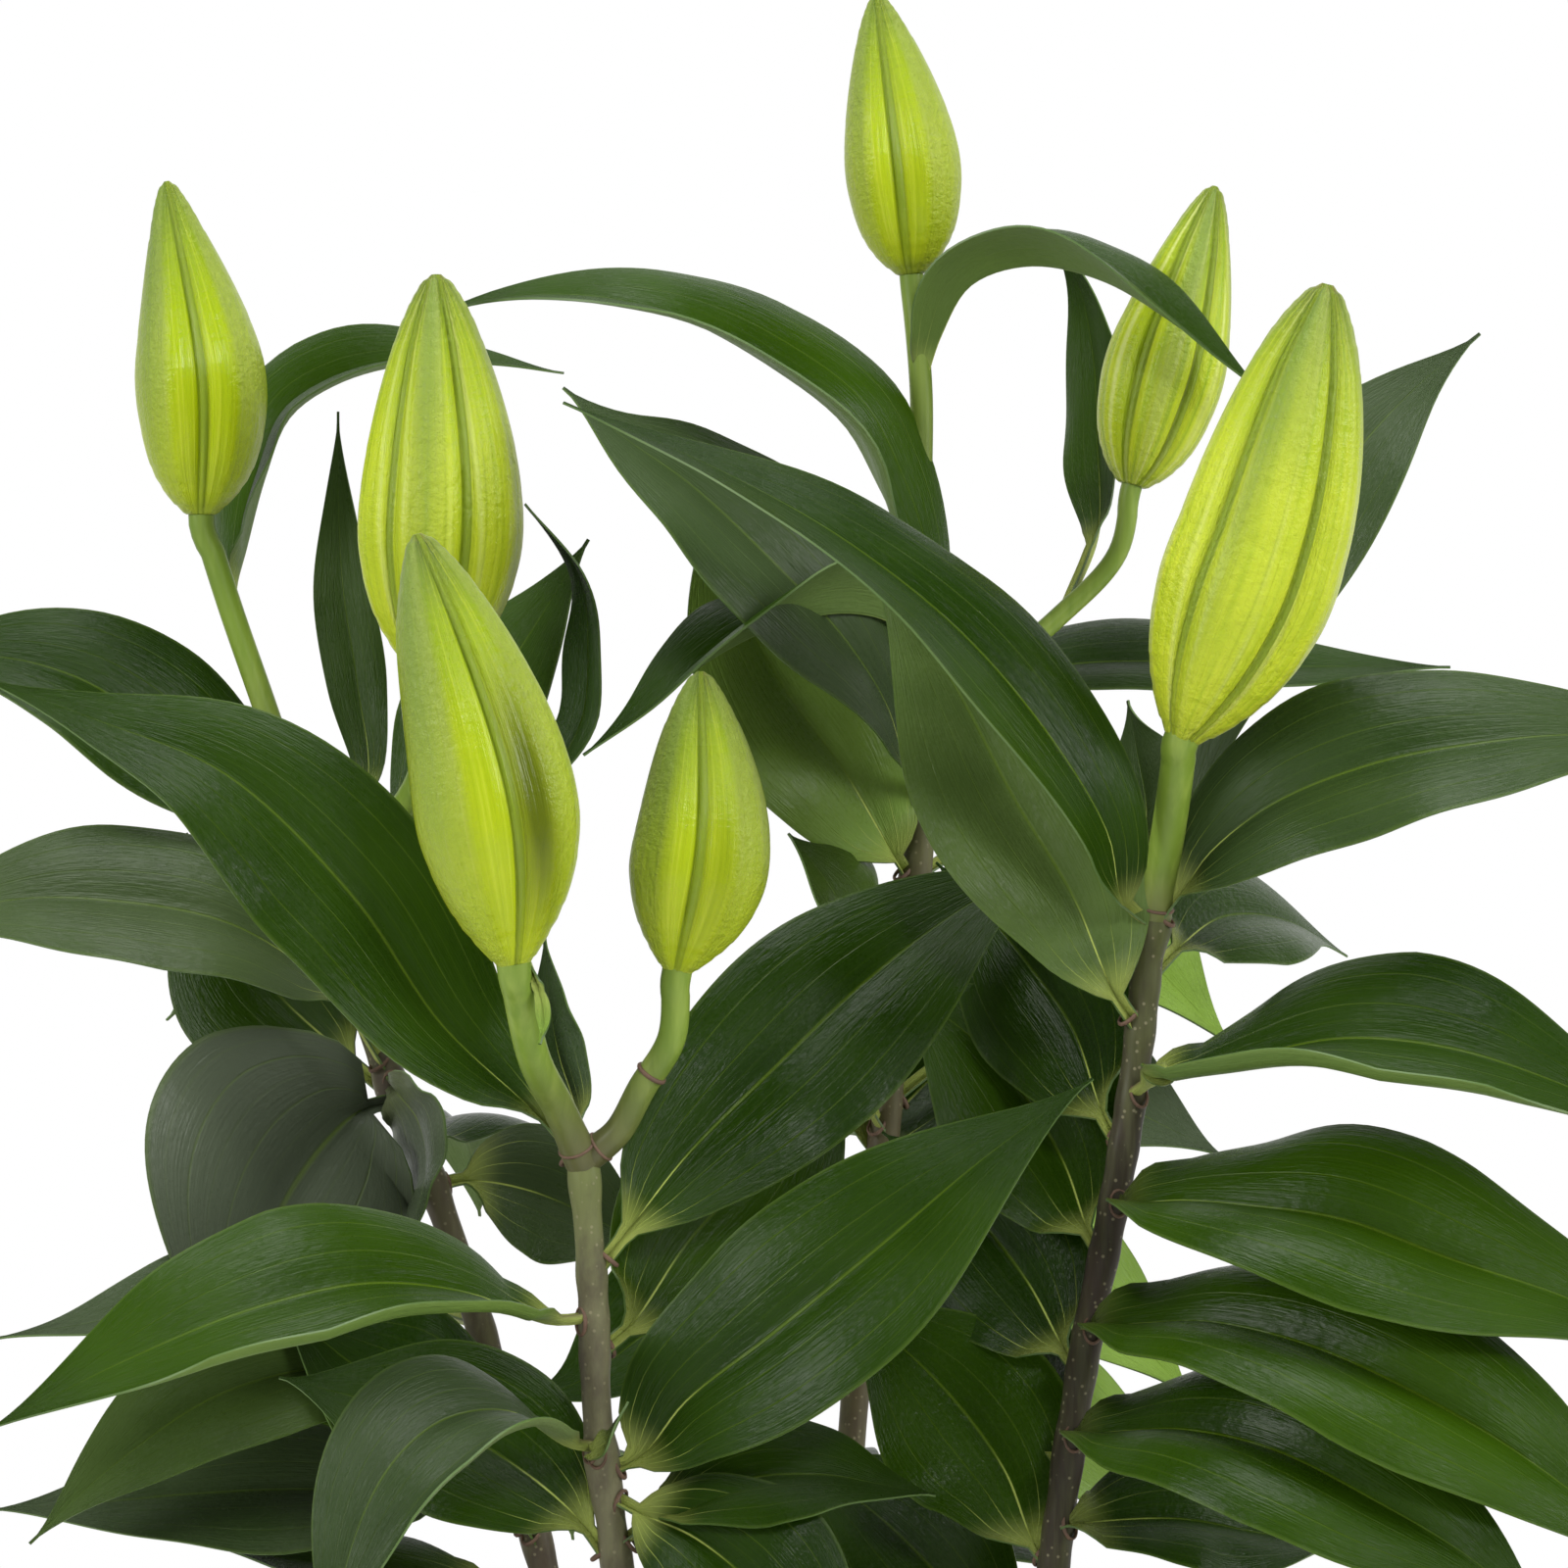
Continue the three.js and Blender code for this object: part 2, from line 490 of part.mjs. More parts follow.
// Rings of six points: three across the upper face, and the three below them coming back.
// Both faces are split along the same diagonals.
function bladeSkin(rings) {
  const faces = [];
  const quad = (a, b, c, d) => faces.push([a, b, c], [a, c, d]);
  for (let i = 0; i + 1 < rings.length; i += 1) {
    const a = 6 * i;
    const b = a + 6;
    quad(a, a + 1, b + 1, b);
    quad(a + 1, a + 2, b + 2, b + 1);
    quad(a + 2, a + 3, b + 3, b + 2);
    faces.push([a + 4, b + 4, b + 3], [a + 4, b + 3, a + 3]);
    faces.push([a + 5, b + 5, b + 4], [a + 5, b + 4, a + 4]);
    quad(a + 5, a, b, b + 5);
  }
  const last = 6 * (rings.length - 1);
  const cap = [[0, 5, 1], [5, 4, 1], [1, 4, 2], [4, 3, 2]];
  for (const [p, q, r] of cap) {
    faces.push([p, q, r], [last + p, last + r, last + q]);
  }
  return solid(rings.flat(), faces);
}

// The point of a stem at a height given as it is seen in the front plane
function stemPoint(stemLine, up) {
  const curve = smoothLine(stemLine);
  let low = 0;
  let high = 1;
  for (let i = 0; i < 24; i += 1) {
    const middle = (low + high) / 2;
    const p = curve.getPointAt(middle);
    const k = (EYE_DISTANCE + p.y) / (EYE_DISTANCE + FRONT_PLANE);
    if (EYE_Z + (p.z - EYE_Z) / k < up) {
      low = middle;
    } else {
      high = middle;
    }
  }
  return curve.getPointAt((low + high) / 2);
}

// Where leaves cross they can close off a small pocket: only the outer skin is kept
function outerSkin(whole) {
  return whole.decompose().sort((a, b) => b.volume() - a.volume())[0];
}

function leafyStem({ stem, stalks, leaves }) {
  const line = STEMS[stem].map(place);
  let whole = stemSolid(line);
  for (const name of stalks) {
    whole = whole.add(stalkSolid(STALKS[name], BUDS[name]));
  }
  for (const leaf of leaves) {
    whole = whole.add(leafSolid(leaf, line));
  }
  return outerSkin(whole);
}

// A closed bud, clear of its flower stalk by the usual gap
function budSolid({ radius, foot, taper, line }) {
  const curve = smoothLine(line.map(place));
  const seat = curve.getTangentAt(0).multiplyScalar(CLEARANCE);
  const rings = BUD_PROFILE.map(([share, width]) => {
    const centre = curve.getPointAt(share).add(seat);
    const low = 1 - foot * clamp(1 - share / 0.35, 0, 1) ** 2;
    const high = 1 - taper * clamp((share - 0.45) / 0.4, 0, 1);
    return ring(centre, curve.getTangentAt(share), radius * width * low * high, BUD_SIDES);
  });
  return skin(rings);
}

// A solid of revolution: [radius, z] from its middle underneath, round the outside, to its
// middle on top
function turned(profile) {
  const points = [];
  for (const [radius, z] of profile) {
    for (let j = 0; j < POT_SIDES; j += 1) {
      const angle = (2 * Math.PI * j) / POT_SIDES;
      points.push(new THREE.Vector3(radius * Math.cos(angle), radius * Math.sin(angle), z));
    }
  }
  const bottom = points.push(new THREE.Vector3(0, 0, profile[0][1])) - 1;
  const top = points.push(new THREE.Vector3(0, 0, profile[profile.length - 1][1])) - 1;
  const faces = [];
  const last = (profile.length - 1) * POT_SIDES;
  for (let j = 0; j < POT_SIDES; j += 1) {
    const next = (j + 1) % POT_SIDES;
    faces.push([bottom, next, j], [top, last + j, last + next]);
    for (let i = 0; i + 1 < profile.length; i += 1) {
      const a = i * POT_SIDES + j;
      const b = i * POT_SIDES + next;
      faces.push([a, b, b + POT_SIDES], [a, b + POT_SIDES, a + POT_SIDES]);
    }
  }
  return solid(points, faces);
}

function upright(x, y, low, high, radius, sides) {
  const up = new THREE.Vector3(0, 0, 1);
  const rings = [low, high].map((z) => ring(new THREE.Vector3(x, y, z), up, radius, sides));
  return skin(rings);
}

function wallRadius(z) {
  return POT_BASE_RADIUS + ((POT_RIM_RADIUS - RIM_BAND_STEP - POT_BASE_RADIUS) * z) / POT_HEIGHT;
}

function potSolid() {
  const band = POT_HEIGHT - RIM_BAND_HEIGHT;
  const inner = (z) => wallRadius(z) - POT_WALL;
  let pot = turned([
    [POT_BASE_RADIUS - 1.5, 0],
    [wallRadius(1.5), 1.5],
    [wallRadius(band), band],
    [POT_RIM_RADIUS - 0.8, band],
    [POT_RIM_RADIUS, band + 1.5],
    [POT_RIM_RADIUS, POT_HEIGHT - 2],
    [POT_RIM_RADIUS - 1.5, POT_HEIGHT],
    [inner(POT_HEIGHT) + 1, POT_HEIGHT],
    [inner(POT_HEIGHT - 1.5), POT_HEIGHT - 1.5],
    [inner(POT_FLOOR + 2), POT_FLOOR + 2],
    [inner(POT_FLOOR) - 2, POT_FLOOR],
  ]);
  for (let i = 0; i < DRAIN_COUNT; i += 1) {
    const angle = (2 * Math.PI * (i + 0.5)) / DRAIN_COUNT;
    const x = DRAIN_RING_RADIUS * Math.cos(angle);
    const y = DRAIN_RING_RADIUS * Math.sin(angle);
    pot = pot.subtract(upright(x, y, -1, POT_FLOOR + 1, DRAIN_RADIUS, 16));
  }
  return pot;
}

function soilSolid() {
  const low = POT_FLOOR + CLEARANCE;
  const side = (z) => wallRadius(z) - POT_WALL - CLEARANCE;
  let soil = turned([
    [side(low) - 2.2, low],
    [side(low + 2.2), low + 2.2],
    [side(SOIL_TOP), SOIL_TOP],
    [side(SOIL_TOP) * 0.6, SOIL_TOP + SOIL_CROWN * 0.7],
  ]);
  for (const line of Object.values(STEMS)) {
    const foot = place(line[0]);
    const bottom = SOIL_TOP - STEM_DEPTH - CLEARANCE;
    const radius = STEM_FOOT_RADIUS + CLEARANCE;
    soil = soil.subtract(upright(foot.x, foot.y, bottom, SOIL_TOP + 9, radius, STEM_SIDES));
  }
  return soil;
}

function meshOf(name, whole, colour, roughness) {
  const { numProp, vertProperties, triVerts } = whole.getMesh();
  const geometry = new THREE.BufferGeometry();
  geometry.setAttribute("position", new THREE.BufferAttribute(vertProperties, numProp));
  geometry.setIndex(new THREE.BufferAttribute(triVerts, 1));
  const material = new THREE.MeshStandardMaterial({ color: colour, roughness, metalness: 0 });
  const mesh = new THREE.Mesh(geometry, material);
  mesh.name = name;
  return mesh;
}

const lily = new THREE.Group();
lily.add(meshOf("pot", potSolid(), POT_COLOUR, 0.7));
lily.add(meshOf("soil", soilSolid(), SOIL_COLOUR, 0.95));
for (const [name, parts] of Object.entries(LEAFY_STEMS)) {
  lily.add(meshOf(name, leafyStem(parts), LEAF_COLOUR, 0.45));
}
for (const [name, bud] of Object.entries(BUDS)) {
  lily.add(meshOf(name, budSolid(bud), BUD_COLOUR, 0.4));
}

export default lily;
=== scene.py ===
import math
import random

import bpy
from mathutils import Matrix, Vector, noise


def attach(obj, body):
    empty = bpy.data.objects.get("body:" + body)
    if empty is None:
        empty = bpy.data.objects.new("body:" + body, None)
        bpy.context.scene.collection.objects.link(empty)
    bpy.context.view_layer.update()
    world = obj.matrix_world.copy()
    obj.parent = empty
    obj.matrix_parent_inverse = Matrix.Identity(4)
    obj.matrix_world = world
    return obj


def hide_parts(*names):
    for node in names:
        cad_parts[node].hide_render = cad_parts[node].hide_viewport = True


# A potted lily in bud. All sizes in the tables below are millimetres; MM turns them into metres.
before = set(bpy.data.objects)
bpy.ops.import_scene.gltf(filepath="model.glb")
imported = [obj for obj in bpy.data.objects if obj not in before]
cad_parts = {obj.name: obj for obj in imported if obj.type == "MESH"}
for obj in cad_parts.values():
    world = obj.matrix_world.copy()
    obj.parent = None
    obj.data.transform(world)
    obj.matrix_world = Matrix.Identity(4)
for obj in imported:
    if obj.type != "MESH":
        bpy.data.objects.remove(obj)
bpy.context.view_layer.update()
MM = 0.001

# Pot and soil
POT_HEIGHT = 160
POT_BASE_RADIUS = 70
POT_RIM_RADIUS = 95
POT_WALL = 2.2
POT_FLOOR = 3
RIM_BAND_HEIGHT = 20
RIM_BAND_STEP = 3
DRAIN_COUNT = 6
DRAIN_RADIUS = 4.5
DRAIN_RING_RADIUS = 48
SOIL_TOP = 145
SOIL_CROWN = 3
SOIL_RINGS = 40
CLEARANCE = 0.3
SIDE_CLEARANCE = 1.0
WALL_RIB = 0.35
CHIP_COUNT = 420
CHIP_TO_WALL = 6
CHIP_TO_STEM = 8

# Stems and leaves
STEM_FOOT_RADIUS = 3.2
STEM_TOP_RADIUS = 2.9
STEM_DEPTH = 26
STEM_STEPS = 200
STEM_SIDES = 28
NODE_SWELLING = 0.38
COLLAR_RADIUS = 2.2
COLLAR_THICKNESS = 0.3
COLLAR_STRETCH = (1.25, 0.85, 1.6)
STALK_STEPS = 40
STALK_SIDES = 24
STALK_TURN_STEPS = 4
STALK_REACH_INTO_BUD = 1.6
FOOT_RING_STEP = 3
FOOT_RING_THICKNESS = 0.34
JOINT_THICKNESS = 0.5
LEAF_ROWS = 48
LEAF_COLUMNS = 20
LEAF_THICKNESS = 0.45
LEAF_ARCH = 22
LEAF_STALK_HALF_WIDTH = 2.1
TIP_HALF_WIDTH = 0.3
# Pale leaf colour: partly the leaf's own paler green, partly painted backlight
PALE_BACKLIT_GREEN = (0.19, 0.31, 0.045)

# Buds. BUD_PROFILE gives (share of the way from foot to tip, radius as a share of the greatest)
BUD_RINGS = 72
BUD_AXIS_STEPS = 200
BUD_SLIMNESS = 0.3
BUD_PROFILE = [
    (0, 0.24), (0.02, 0.37), (0.06, 0.56), (0.13, 0.77), (0.22, 0.91), (0.36, 1), (0.5, 0.95),
    (0.64, 0.82), (0.76, 0.66), (0.86, 0.48), (0.93, 0.32), (0.98, 0.17), (1, 0.06),
]
STRIP_HALF_WIDTH = 0.95
# Steps away from a seam, in degrees: close together at its strip, and further off about FAR_STEP
NEAR_SEAM = [0, 2, 3.6, 4.6, 5.4, 6.4, 8, 10.5, 14]
FAR_STEP = 5

# Places on the plant are laid out as (across, up, depth): across and up as they are seen
# in the front plane, and then carried back to their depth along the line of sight.
EYE_X = -10
EYE_Z = 450
EYE_DISTANCE = 1300
FRONT_PLANE = -35
VIEW_WIDTH = 320

# Brightness of the room on the plant's front side; it is 1 behind the plant
ROOM_GREY = 0.55
ROOM_GREY_ABOVE = 0.14

# Softboxes, all turned to the middle of the plant: place and width in metres, power in watts
PLANT_MIDDLE = (0, 0, 0.42)
SOFTBOXES = {
    "left_softbox": ((-1.5, -0.9, 1.0), 0.7, 21),
    "right_softbox": ((1.5, -0.6, 1.0), 0.7, 19),
    "top_softbox": ((0.0, -0.3, 1.9), 0.9, 23),
    "front_softbox": ((0.5, -1.9, 1.3), 0.3, 14),
}

# Stems: from the soil up to where the flower stalks part
STEMS = {
    "front_left": [
        (-30, 146, -30), (-36, 218, -37), (-44, 290, -43), (-48, 320, -45), (-49, 346, -47),
        (-51, 373, -48),
    ],
    "front_right": [
        (32, 146, -26), (38, 218, -30), (45, 290, -34), (51, 332, -36), (58, 368, -38),
        (62, 394, -38), (65, 422, -38),
    ],
    "back_middle": [
        (-2, 162, 38), (0, 230, 42), (4, 319, 46), (11, 384, 48), (18, 442, 48), (21, 472, 48),
    ],
    "back_left": [
        (-26, 162, 34), (-40, 220, 42), (-58, 286, 50), (-71, 336, 55), (-82, 369, 58),
        (-91, 391, 60), (-104, 430, 62),
    ],
}

# Flower stalks: radius, how far up from its foot the stalk is browned, the step of its line at
# which it has a joint (0: none), and line
STALKS = {
    "bud_1": dict(radius=2.7, browned=52, joint=0, line=[
        (-104, 430, 62), (-115, 463, 62), (-123, 486, 61), (-129, 505, 60),
    ]),
    "bud_2": dict(radius=3.0, browned=16, joint=0, line=[
        (-104, 430, 62), (-94, 438, 50), (-84, 452, 32), (-82, 472, 18),
    ]),
    "bud_3": dict(radius=3.3, browned=32, joint=0, line=[
        (-51, 373, -48), (-56, 384, -55), (-61, 394, -64), (-65, 412, -74),
    ]),
    "bud_4": dict(radius=2.9, browned=32, joint=20, line=[
        (-50, 374, -48), (-44, 379, -50), (-39, 388, -53), (-33, 398, -56), (-32, 411, -58),
    ]),
    "bud_5": dict(radius=2.5, browned=70, joint=0, line=[
        (21, 472, 48), (19, 490, 48), (18, 508, 47), (18, 530, 46), (16, 554, 46),
    ]),
    "bud_6": dict(radius=2.2, browned=24, joint=0, line=[
        (21, 472, 48), (34, 475, 52), (47, 485, 54), (58, 497, 54), (61, 511, 54),
    ]),
    "bud_7": dict(radius=3.5, browned=14, joint=0, line=[
        (65, 422, -38), (67, 432, -41), (69, 444, -46), (71, 459, -52),
    ]),
}

# Buds: greatest radius, how much slimmer than the common outline the foot and the tip are,
# where the three seams stand round the bud in degrees from the front, the strength of the
# lengthwise pleats, the depth of the hollow beside each seam and the strength of the painted
# shade in it, how pale the skin is, the broad green line of painted shade (degrees from the
# front, half its width in degrees, strength), and the line from foot to tip
BUDS = {
    "bud_1": dict(
        radius=14.0, foot=0, taper=0.16, seams=(7, 127, -113), pleats=0.15, hollow=0,
        pale=0, green=(-52, 14, 0.85), line=[(-129, 505, 60), (-129, 532, 59), (-136, 573, 58)],
    ),
    "bud_2": dict(
        radius=17.3, foot=0.2, taper=0, seams=(24, 173, -38), pleats=0.5, hollow=0.2,
        pale=0.35, green=(-8, 7, 0.75), line=[(-82, 472, 18), (-80, 506, 16), (-81, 554, 15)],
    ),
    "bud_3": dict(
        radius=16.6, foot=0.4, taper=0, seams=(18, 138, -102), pleats=0.25, hollow=1.5,
        pale=0.1, green=(-44, 13, 0.85), line=[(-65, 412, -74), (-70, 449, -78), (-85, 501, -84)],
    ),
    "bud_4": dict(
        radius=13.8, foot=0.35, taper=0, seams=(2, 122, -118), pleats=0.2, hollow=0.5,
        pale=0.1, green=(-44, 13, 0.8), line=[(-32, 411, -58), (-27, 438, -59), (-27, 473, -60)],
    ),
    "bud_5": dict(
        radius=12.4, foot=0, taper=0.05, seams=(-6, 114, -126), pleats=0.15, hollow=0.2,
        pale=0.1, green=(-50, 10, 0.5), line=[(16, 554, 46), (14, 577, 45), (9, 611, 44)],
    ),
    "bud_6": dict(
        radius=13.0, foot=0, taper=0.1, seams=(32, 183, -27), pleats=1.0, hollow=0,
        pale=0.35, green=(2, 8, 0.9), line=[(61, 511, 54), (68, 536, 55), (78, 572, 56)],
    ),
    "bud_7": dict(
        radius=17.6, foot=0.25, taper=-0.12, seams=(31, 178, -36), pleats=0.5, hollow=0.0,
        pale=0.55, green=(-22, 6, 1.0), line=[(71, 459, -52), (87, 498, -56), (101, 552, -62)],
    ),
}


def blade(
    at, width, face, fold, line, curl=0, peak=0.42, wave=1.0, arch=LEAF_ARCH, dust_and_sheen=0.0, pale_and_backlit=0.0,
    foot=1.0, blunt=0.0,
):
    """One leaf. at: the height at which it leaves its stem (None: its line starts on a flower
    stalk); width: its greatest width; line: its midrib; face: how far its upper face is turned to
    the front at foot, middle and tip; fold: the rise of each half from the midrib; curl: the roll
    of its near edge; arch: how far each half bows (all four in degrees); peak: the share of its
    length at which it is about widest; wave: how far its edges wave (mm); dust_and_sheen: how grey
    it is, partly from dust and partly painted sheen; pale_and_backlit: how pale it is, partly its
    own paler green and partly painted backlight; foot: how clearly its pale foot shows; blunt: how
    round its foot is."""
    return dict(
        at=at, width=width, face=face, fold=fold, line=line, curl=curl, peak=peak, wave=wave,
        arch=arch, dust_and_sheen=dust_and_sheen, pale_and_backlit=pale_and_backlit, foot=foot, blunt=blunt,
    )


def low_blade(at, width, line):
    """A leaf low on its stem, which arches out and hangs."""
    return blade(at, width, (30, 35, 30), 10, line)


def rear_blade(at, width, line):
    """A leaf on the far side of one of the two stems behind, hardly turned to the front."""
    return blade(at, width, (8, 14, 12), 12, line)


LEAVES = {}
LEAVES["front_left"] = [
    blade(371, 42, (40, 62, 50), 12, [
        (-60, 382, -44), (-80, 401, -40), (-98, 427, -36), (-124, 452, -32), (-150, 463, -30),
        (-175, 472, -30)
    ], foot=0.6),
    blade(350, 44, (70, 62, 50), 10, [
        (-41, 360, -46), (-30, 374, -40), (-12, 392, -32), (7, 410, -20), (27, 425, -6), (48, 436, 8)
    ]),
    blade(333, 42, (70, 65, 60), 10, [
        (-41, 340, -40), (-30, 356, -26), (-16, 372, -16), (-4, 390, -8), (4, 404, -2)
    ], blunt=0.4),
    blade(340, 43, (14, 46, 44), 10, [
        (-58, 340, -52), (-74, 346, -62), (-95, 348, -72), (-118, 343, -80), (-143, 333, -86),
        (-173, 318, -90)
    ], curl=120),
    blade(309, 45, (70, 66, 60), 10, [
        (-39, 313, -46), (-30, 324, -52), (-12, 338, -60), (10, 356, -64), (30, 373, -62),
        (53, 390, -56)
    ], blunt=0.4),
    blade(314, 30, (12, 48, 58), 10, [
        (-54, 315, -52), (-66, 322, -64), (-80, 320, -76), (-91, 310, -86), (-99, 292, -92),
        (-103, 267, -94)
    ], curl=120, dust_and_sheen=0.4),
    blade(289, 40, (60, 62, 60), 10, [
        (-52, 300, -42), (-65, 311, -34), (-81, 320, -28), (-98, 325, -24), (-113, 329, -22)
    ]),
    blade(305, 40, (50, 60, 60), 12, [
        (-39, 301, -48), (-28, 296, -52), (-16, 286, -56), (-6, 272, -58), (0, 254, -58)
    ]),
    blade(293, 32, (30, 42, 30), 12, [
        (-34, 301, -46), (-18, 308, -46), (-2, 309, -46), (10, 307, -46), (21, 305, -46)
    ]),
    blade(367, 16, (60, 60, 60), 14, [
        (-52, 382, -38), (-56, 395, -30), (-58, 407, -26), (-59, 419, -24)
    ], dust_and_sheen=0.2),
    blade(313, 9, (60, 60, 60), 10, [
        (-49, 314, -52), (-46, 316, -54), (-44, 320, -54), (-42, 324, -53)
    ], wave=0),
    low_blade(262, 40, [(-46, 268, -50), (-66, 272, -66), (-90, 262, -78), (-108, 244, -84)]),
    low_blade(232, 38, [(-30, 238, -52), (-16, 240, -70), (-4, 228, -86), (4, 208, -96)]),
    low_blade(205, 36, [(-46, 212, -38), (-66, 214, -44), (-88, 206, -48), (-106, 192, -50)]),
    low_blade(182, 30, [(-36, 190, -48), (-42, 192, -64), (-48, 187, -80), (-54, 178, -94)]),
    blade(None, 3.4, (70, 20, 60), 30, [
        (-62, 414, -72), (-60, 408, -74), (-59, 401, -74), (-60, 397, -76)
    ], peak=0.4, pale_and_backlit=2.0, wave=0),
]
LEAVES["front_right"] = [
    blade(420, 38, (60, 40, 30), 10, [
        (59, 426, -46), (56, 440, -54), (44, 460, -60), (26, 481, -62), (2, 500, -60),
        (-23, 514, -56), (-55, 528, -52)
    ], curl=40),
    blade(400, 44, (70, 62, 60), 12, [
        (57, 408, -42), (49, 427, -40), (37, 447, -34), (26, 468, -28), (15, 486, -24), (6, 498, -22)
    ], dust_and_sheen=0.5, pale_and_backlit=0.5),
    blade(422, 28, (50, 60, 60), 12, [
        (63, 433, -26), (64, 445, -14), (62, 457, -4), (60, 467, 2)
    ], dust_and_sheen=0.3),
    blade(419, 42, (60, 52, 42), 12, [
        (72, 429, -42), (77, 436, -46), (90, 446, -52), (110, 454, -56), (130, 458, -58),
        (154, 460, -58), (183, 456, -56)
    ], dust_and_sheen=0.25),
    blade(409, 36, (40, 44, 40), 12, [
        (71, 417, -20), (80, 423, 0), (93, 422, 20), (105, 415, 34)
    ], wave=0.3),
    blade(386, 45, (14, 42, 40), 10, [
        (66, 389, -46), (84, 394, -56), (104, 398, -64), (126, 396, -70), (148, 389, -74),
        (176, 376, -76)
    ], curl=120, blunt=0.3),
    blade(None, 7, (40, 40, 40), 10, [
        (72, 391, -50), (69, 390, -50), (66, 391, -50), (63, 393, -48)
    ], wave=0),
    blade(364, 48, (20, 46, 44), 10, [
        (60, 364, -47), (70, 365, -54), (84, 364, -63), (104, 361, -72), (126, 353, -78),
        (150, 345, -82), (178, 332, -84)
    ], arch=34, blunt=0.5, foot=0.3),
    blade(339, 46, (20, 44, 44), 10, [
        (54, 339, -46), (65, 340, -54), (78, 340, -63), (98, 335, -74), (118, 326, -84),
        (139, 314, -90), (160, 298, -92), (176, 282, -92)
    ], arch=44, blunt=0.5, foot=0.3),
    blade(316, 44, (20, 46, 44), 10, [
        (51, 317, -46), (61, 318, -54), (73, 318, -65), (90, 314, -78), (110, 304, -88),
        (130, 292, -94), (150, 275, -96)
    ], arch=44, blunt=0.5, foot=0.3),
    blade(298, 36, (30, 40, 30), 8, [
        (50, 299, -38), (70, 300, -34), (88, 297, -28), (106, 295, -22)
    ], arch=34, blunt=0.3, foot=0.6),
    blade(376, 40, (60, 62, 60), 12, [
        (55, 383, -30), (49, 400, -14), (40, 413, 0), (30, 425, 14), (21, 434, 24)
    ]),
    blade(353, 44, (60, 62, 60), 12, [
        (52, 359, -28), (47, 373, -14), (38, 388, -4), (25, 401, 4), (10, 410, 10)
    ]),
    blade(330, 42, (60, 62, 60), 12, [
        (47, 335, -26), (40, 348, -14), (31, 360, -4), (21, 371, 6), (10, 379, 12)
    ]),
    blade(310, 34, (60, 60, 60), 12, [(44, 316, -20), (39, 328, -2), (31, 341, 14), (21, 352, 26)]),
    blade(290, 42, (60, 66, 60), 12, [
        (41, 295, -30), (35, 310, -22), (25, 324, -16), (13, 336, -12), (0, 346, -10)
    ]),
    blade(264, 40, (60, 60, 60), 12, [
        (34, 274, -22), (22, 288, -8), (10, 300, 4), (-1, 308, 12), (-10, 313, 18)
    ]),
    blade(421, 32, (60, 55, 50), 14, [
        (70, 440, -28), (78, 469, -24), (90, 494, -18), (107, 518, -12), (118, 530, -8),
        (132, 542, -6)
    ], peak=0.55, dust_and_sheen=0.5),
    low_blade(262, 40, [(50, 268, -46), (68, 272, -66), (88, 264, -82), (104, 248, -92)]),
    low_blade(240, 38, [(54, 244, -26), (80, 246, -22), (106, 236, -18), (126, 218, -16)]),
    low_blade(210, 34, [(42, 218, -44), (46, 220, -64), (50, 213, -84), (54, 200, -102)]),
    low_blade(185, 30, [(50, 194, -34), (68, 196, -40), (86, 190, -44), (102, 180, -46)]),
]
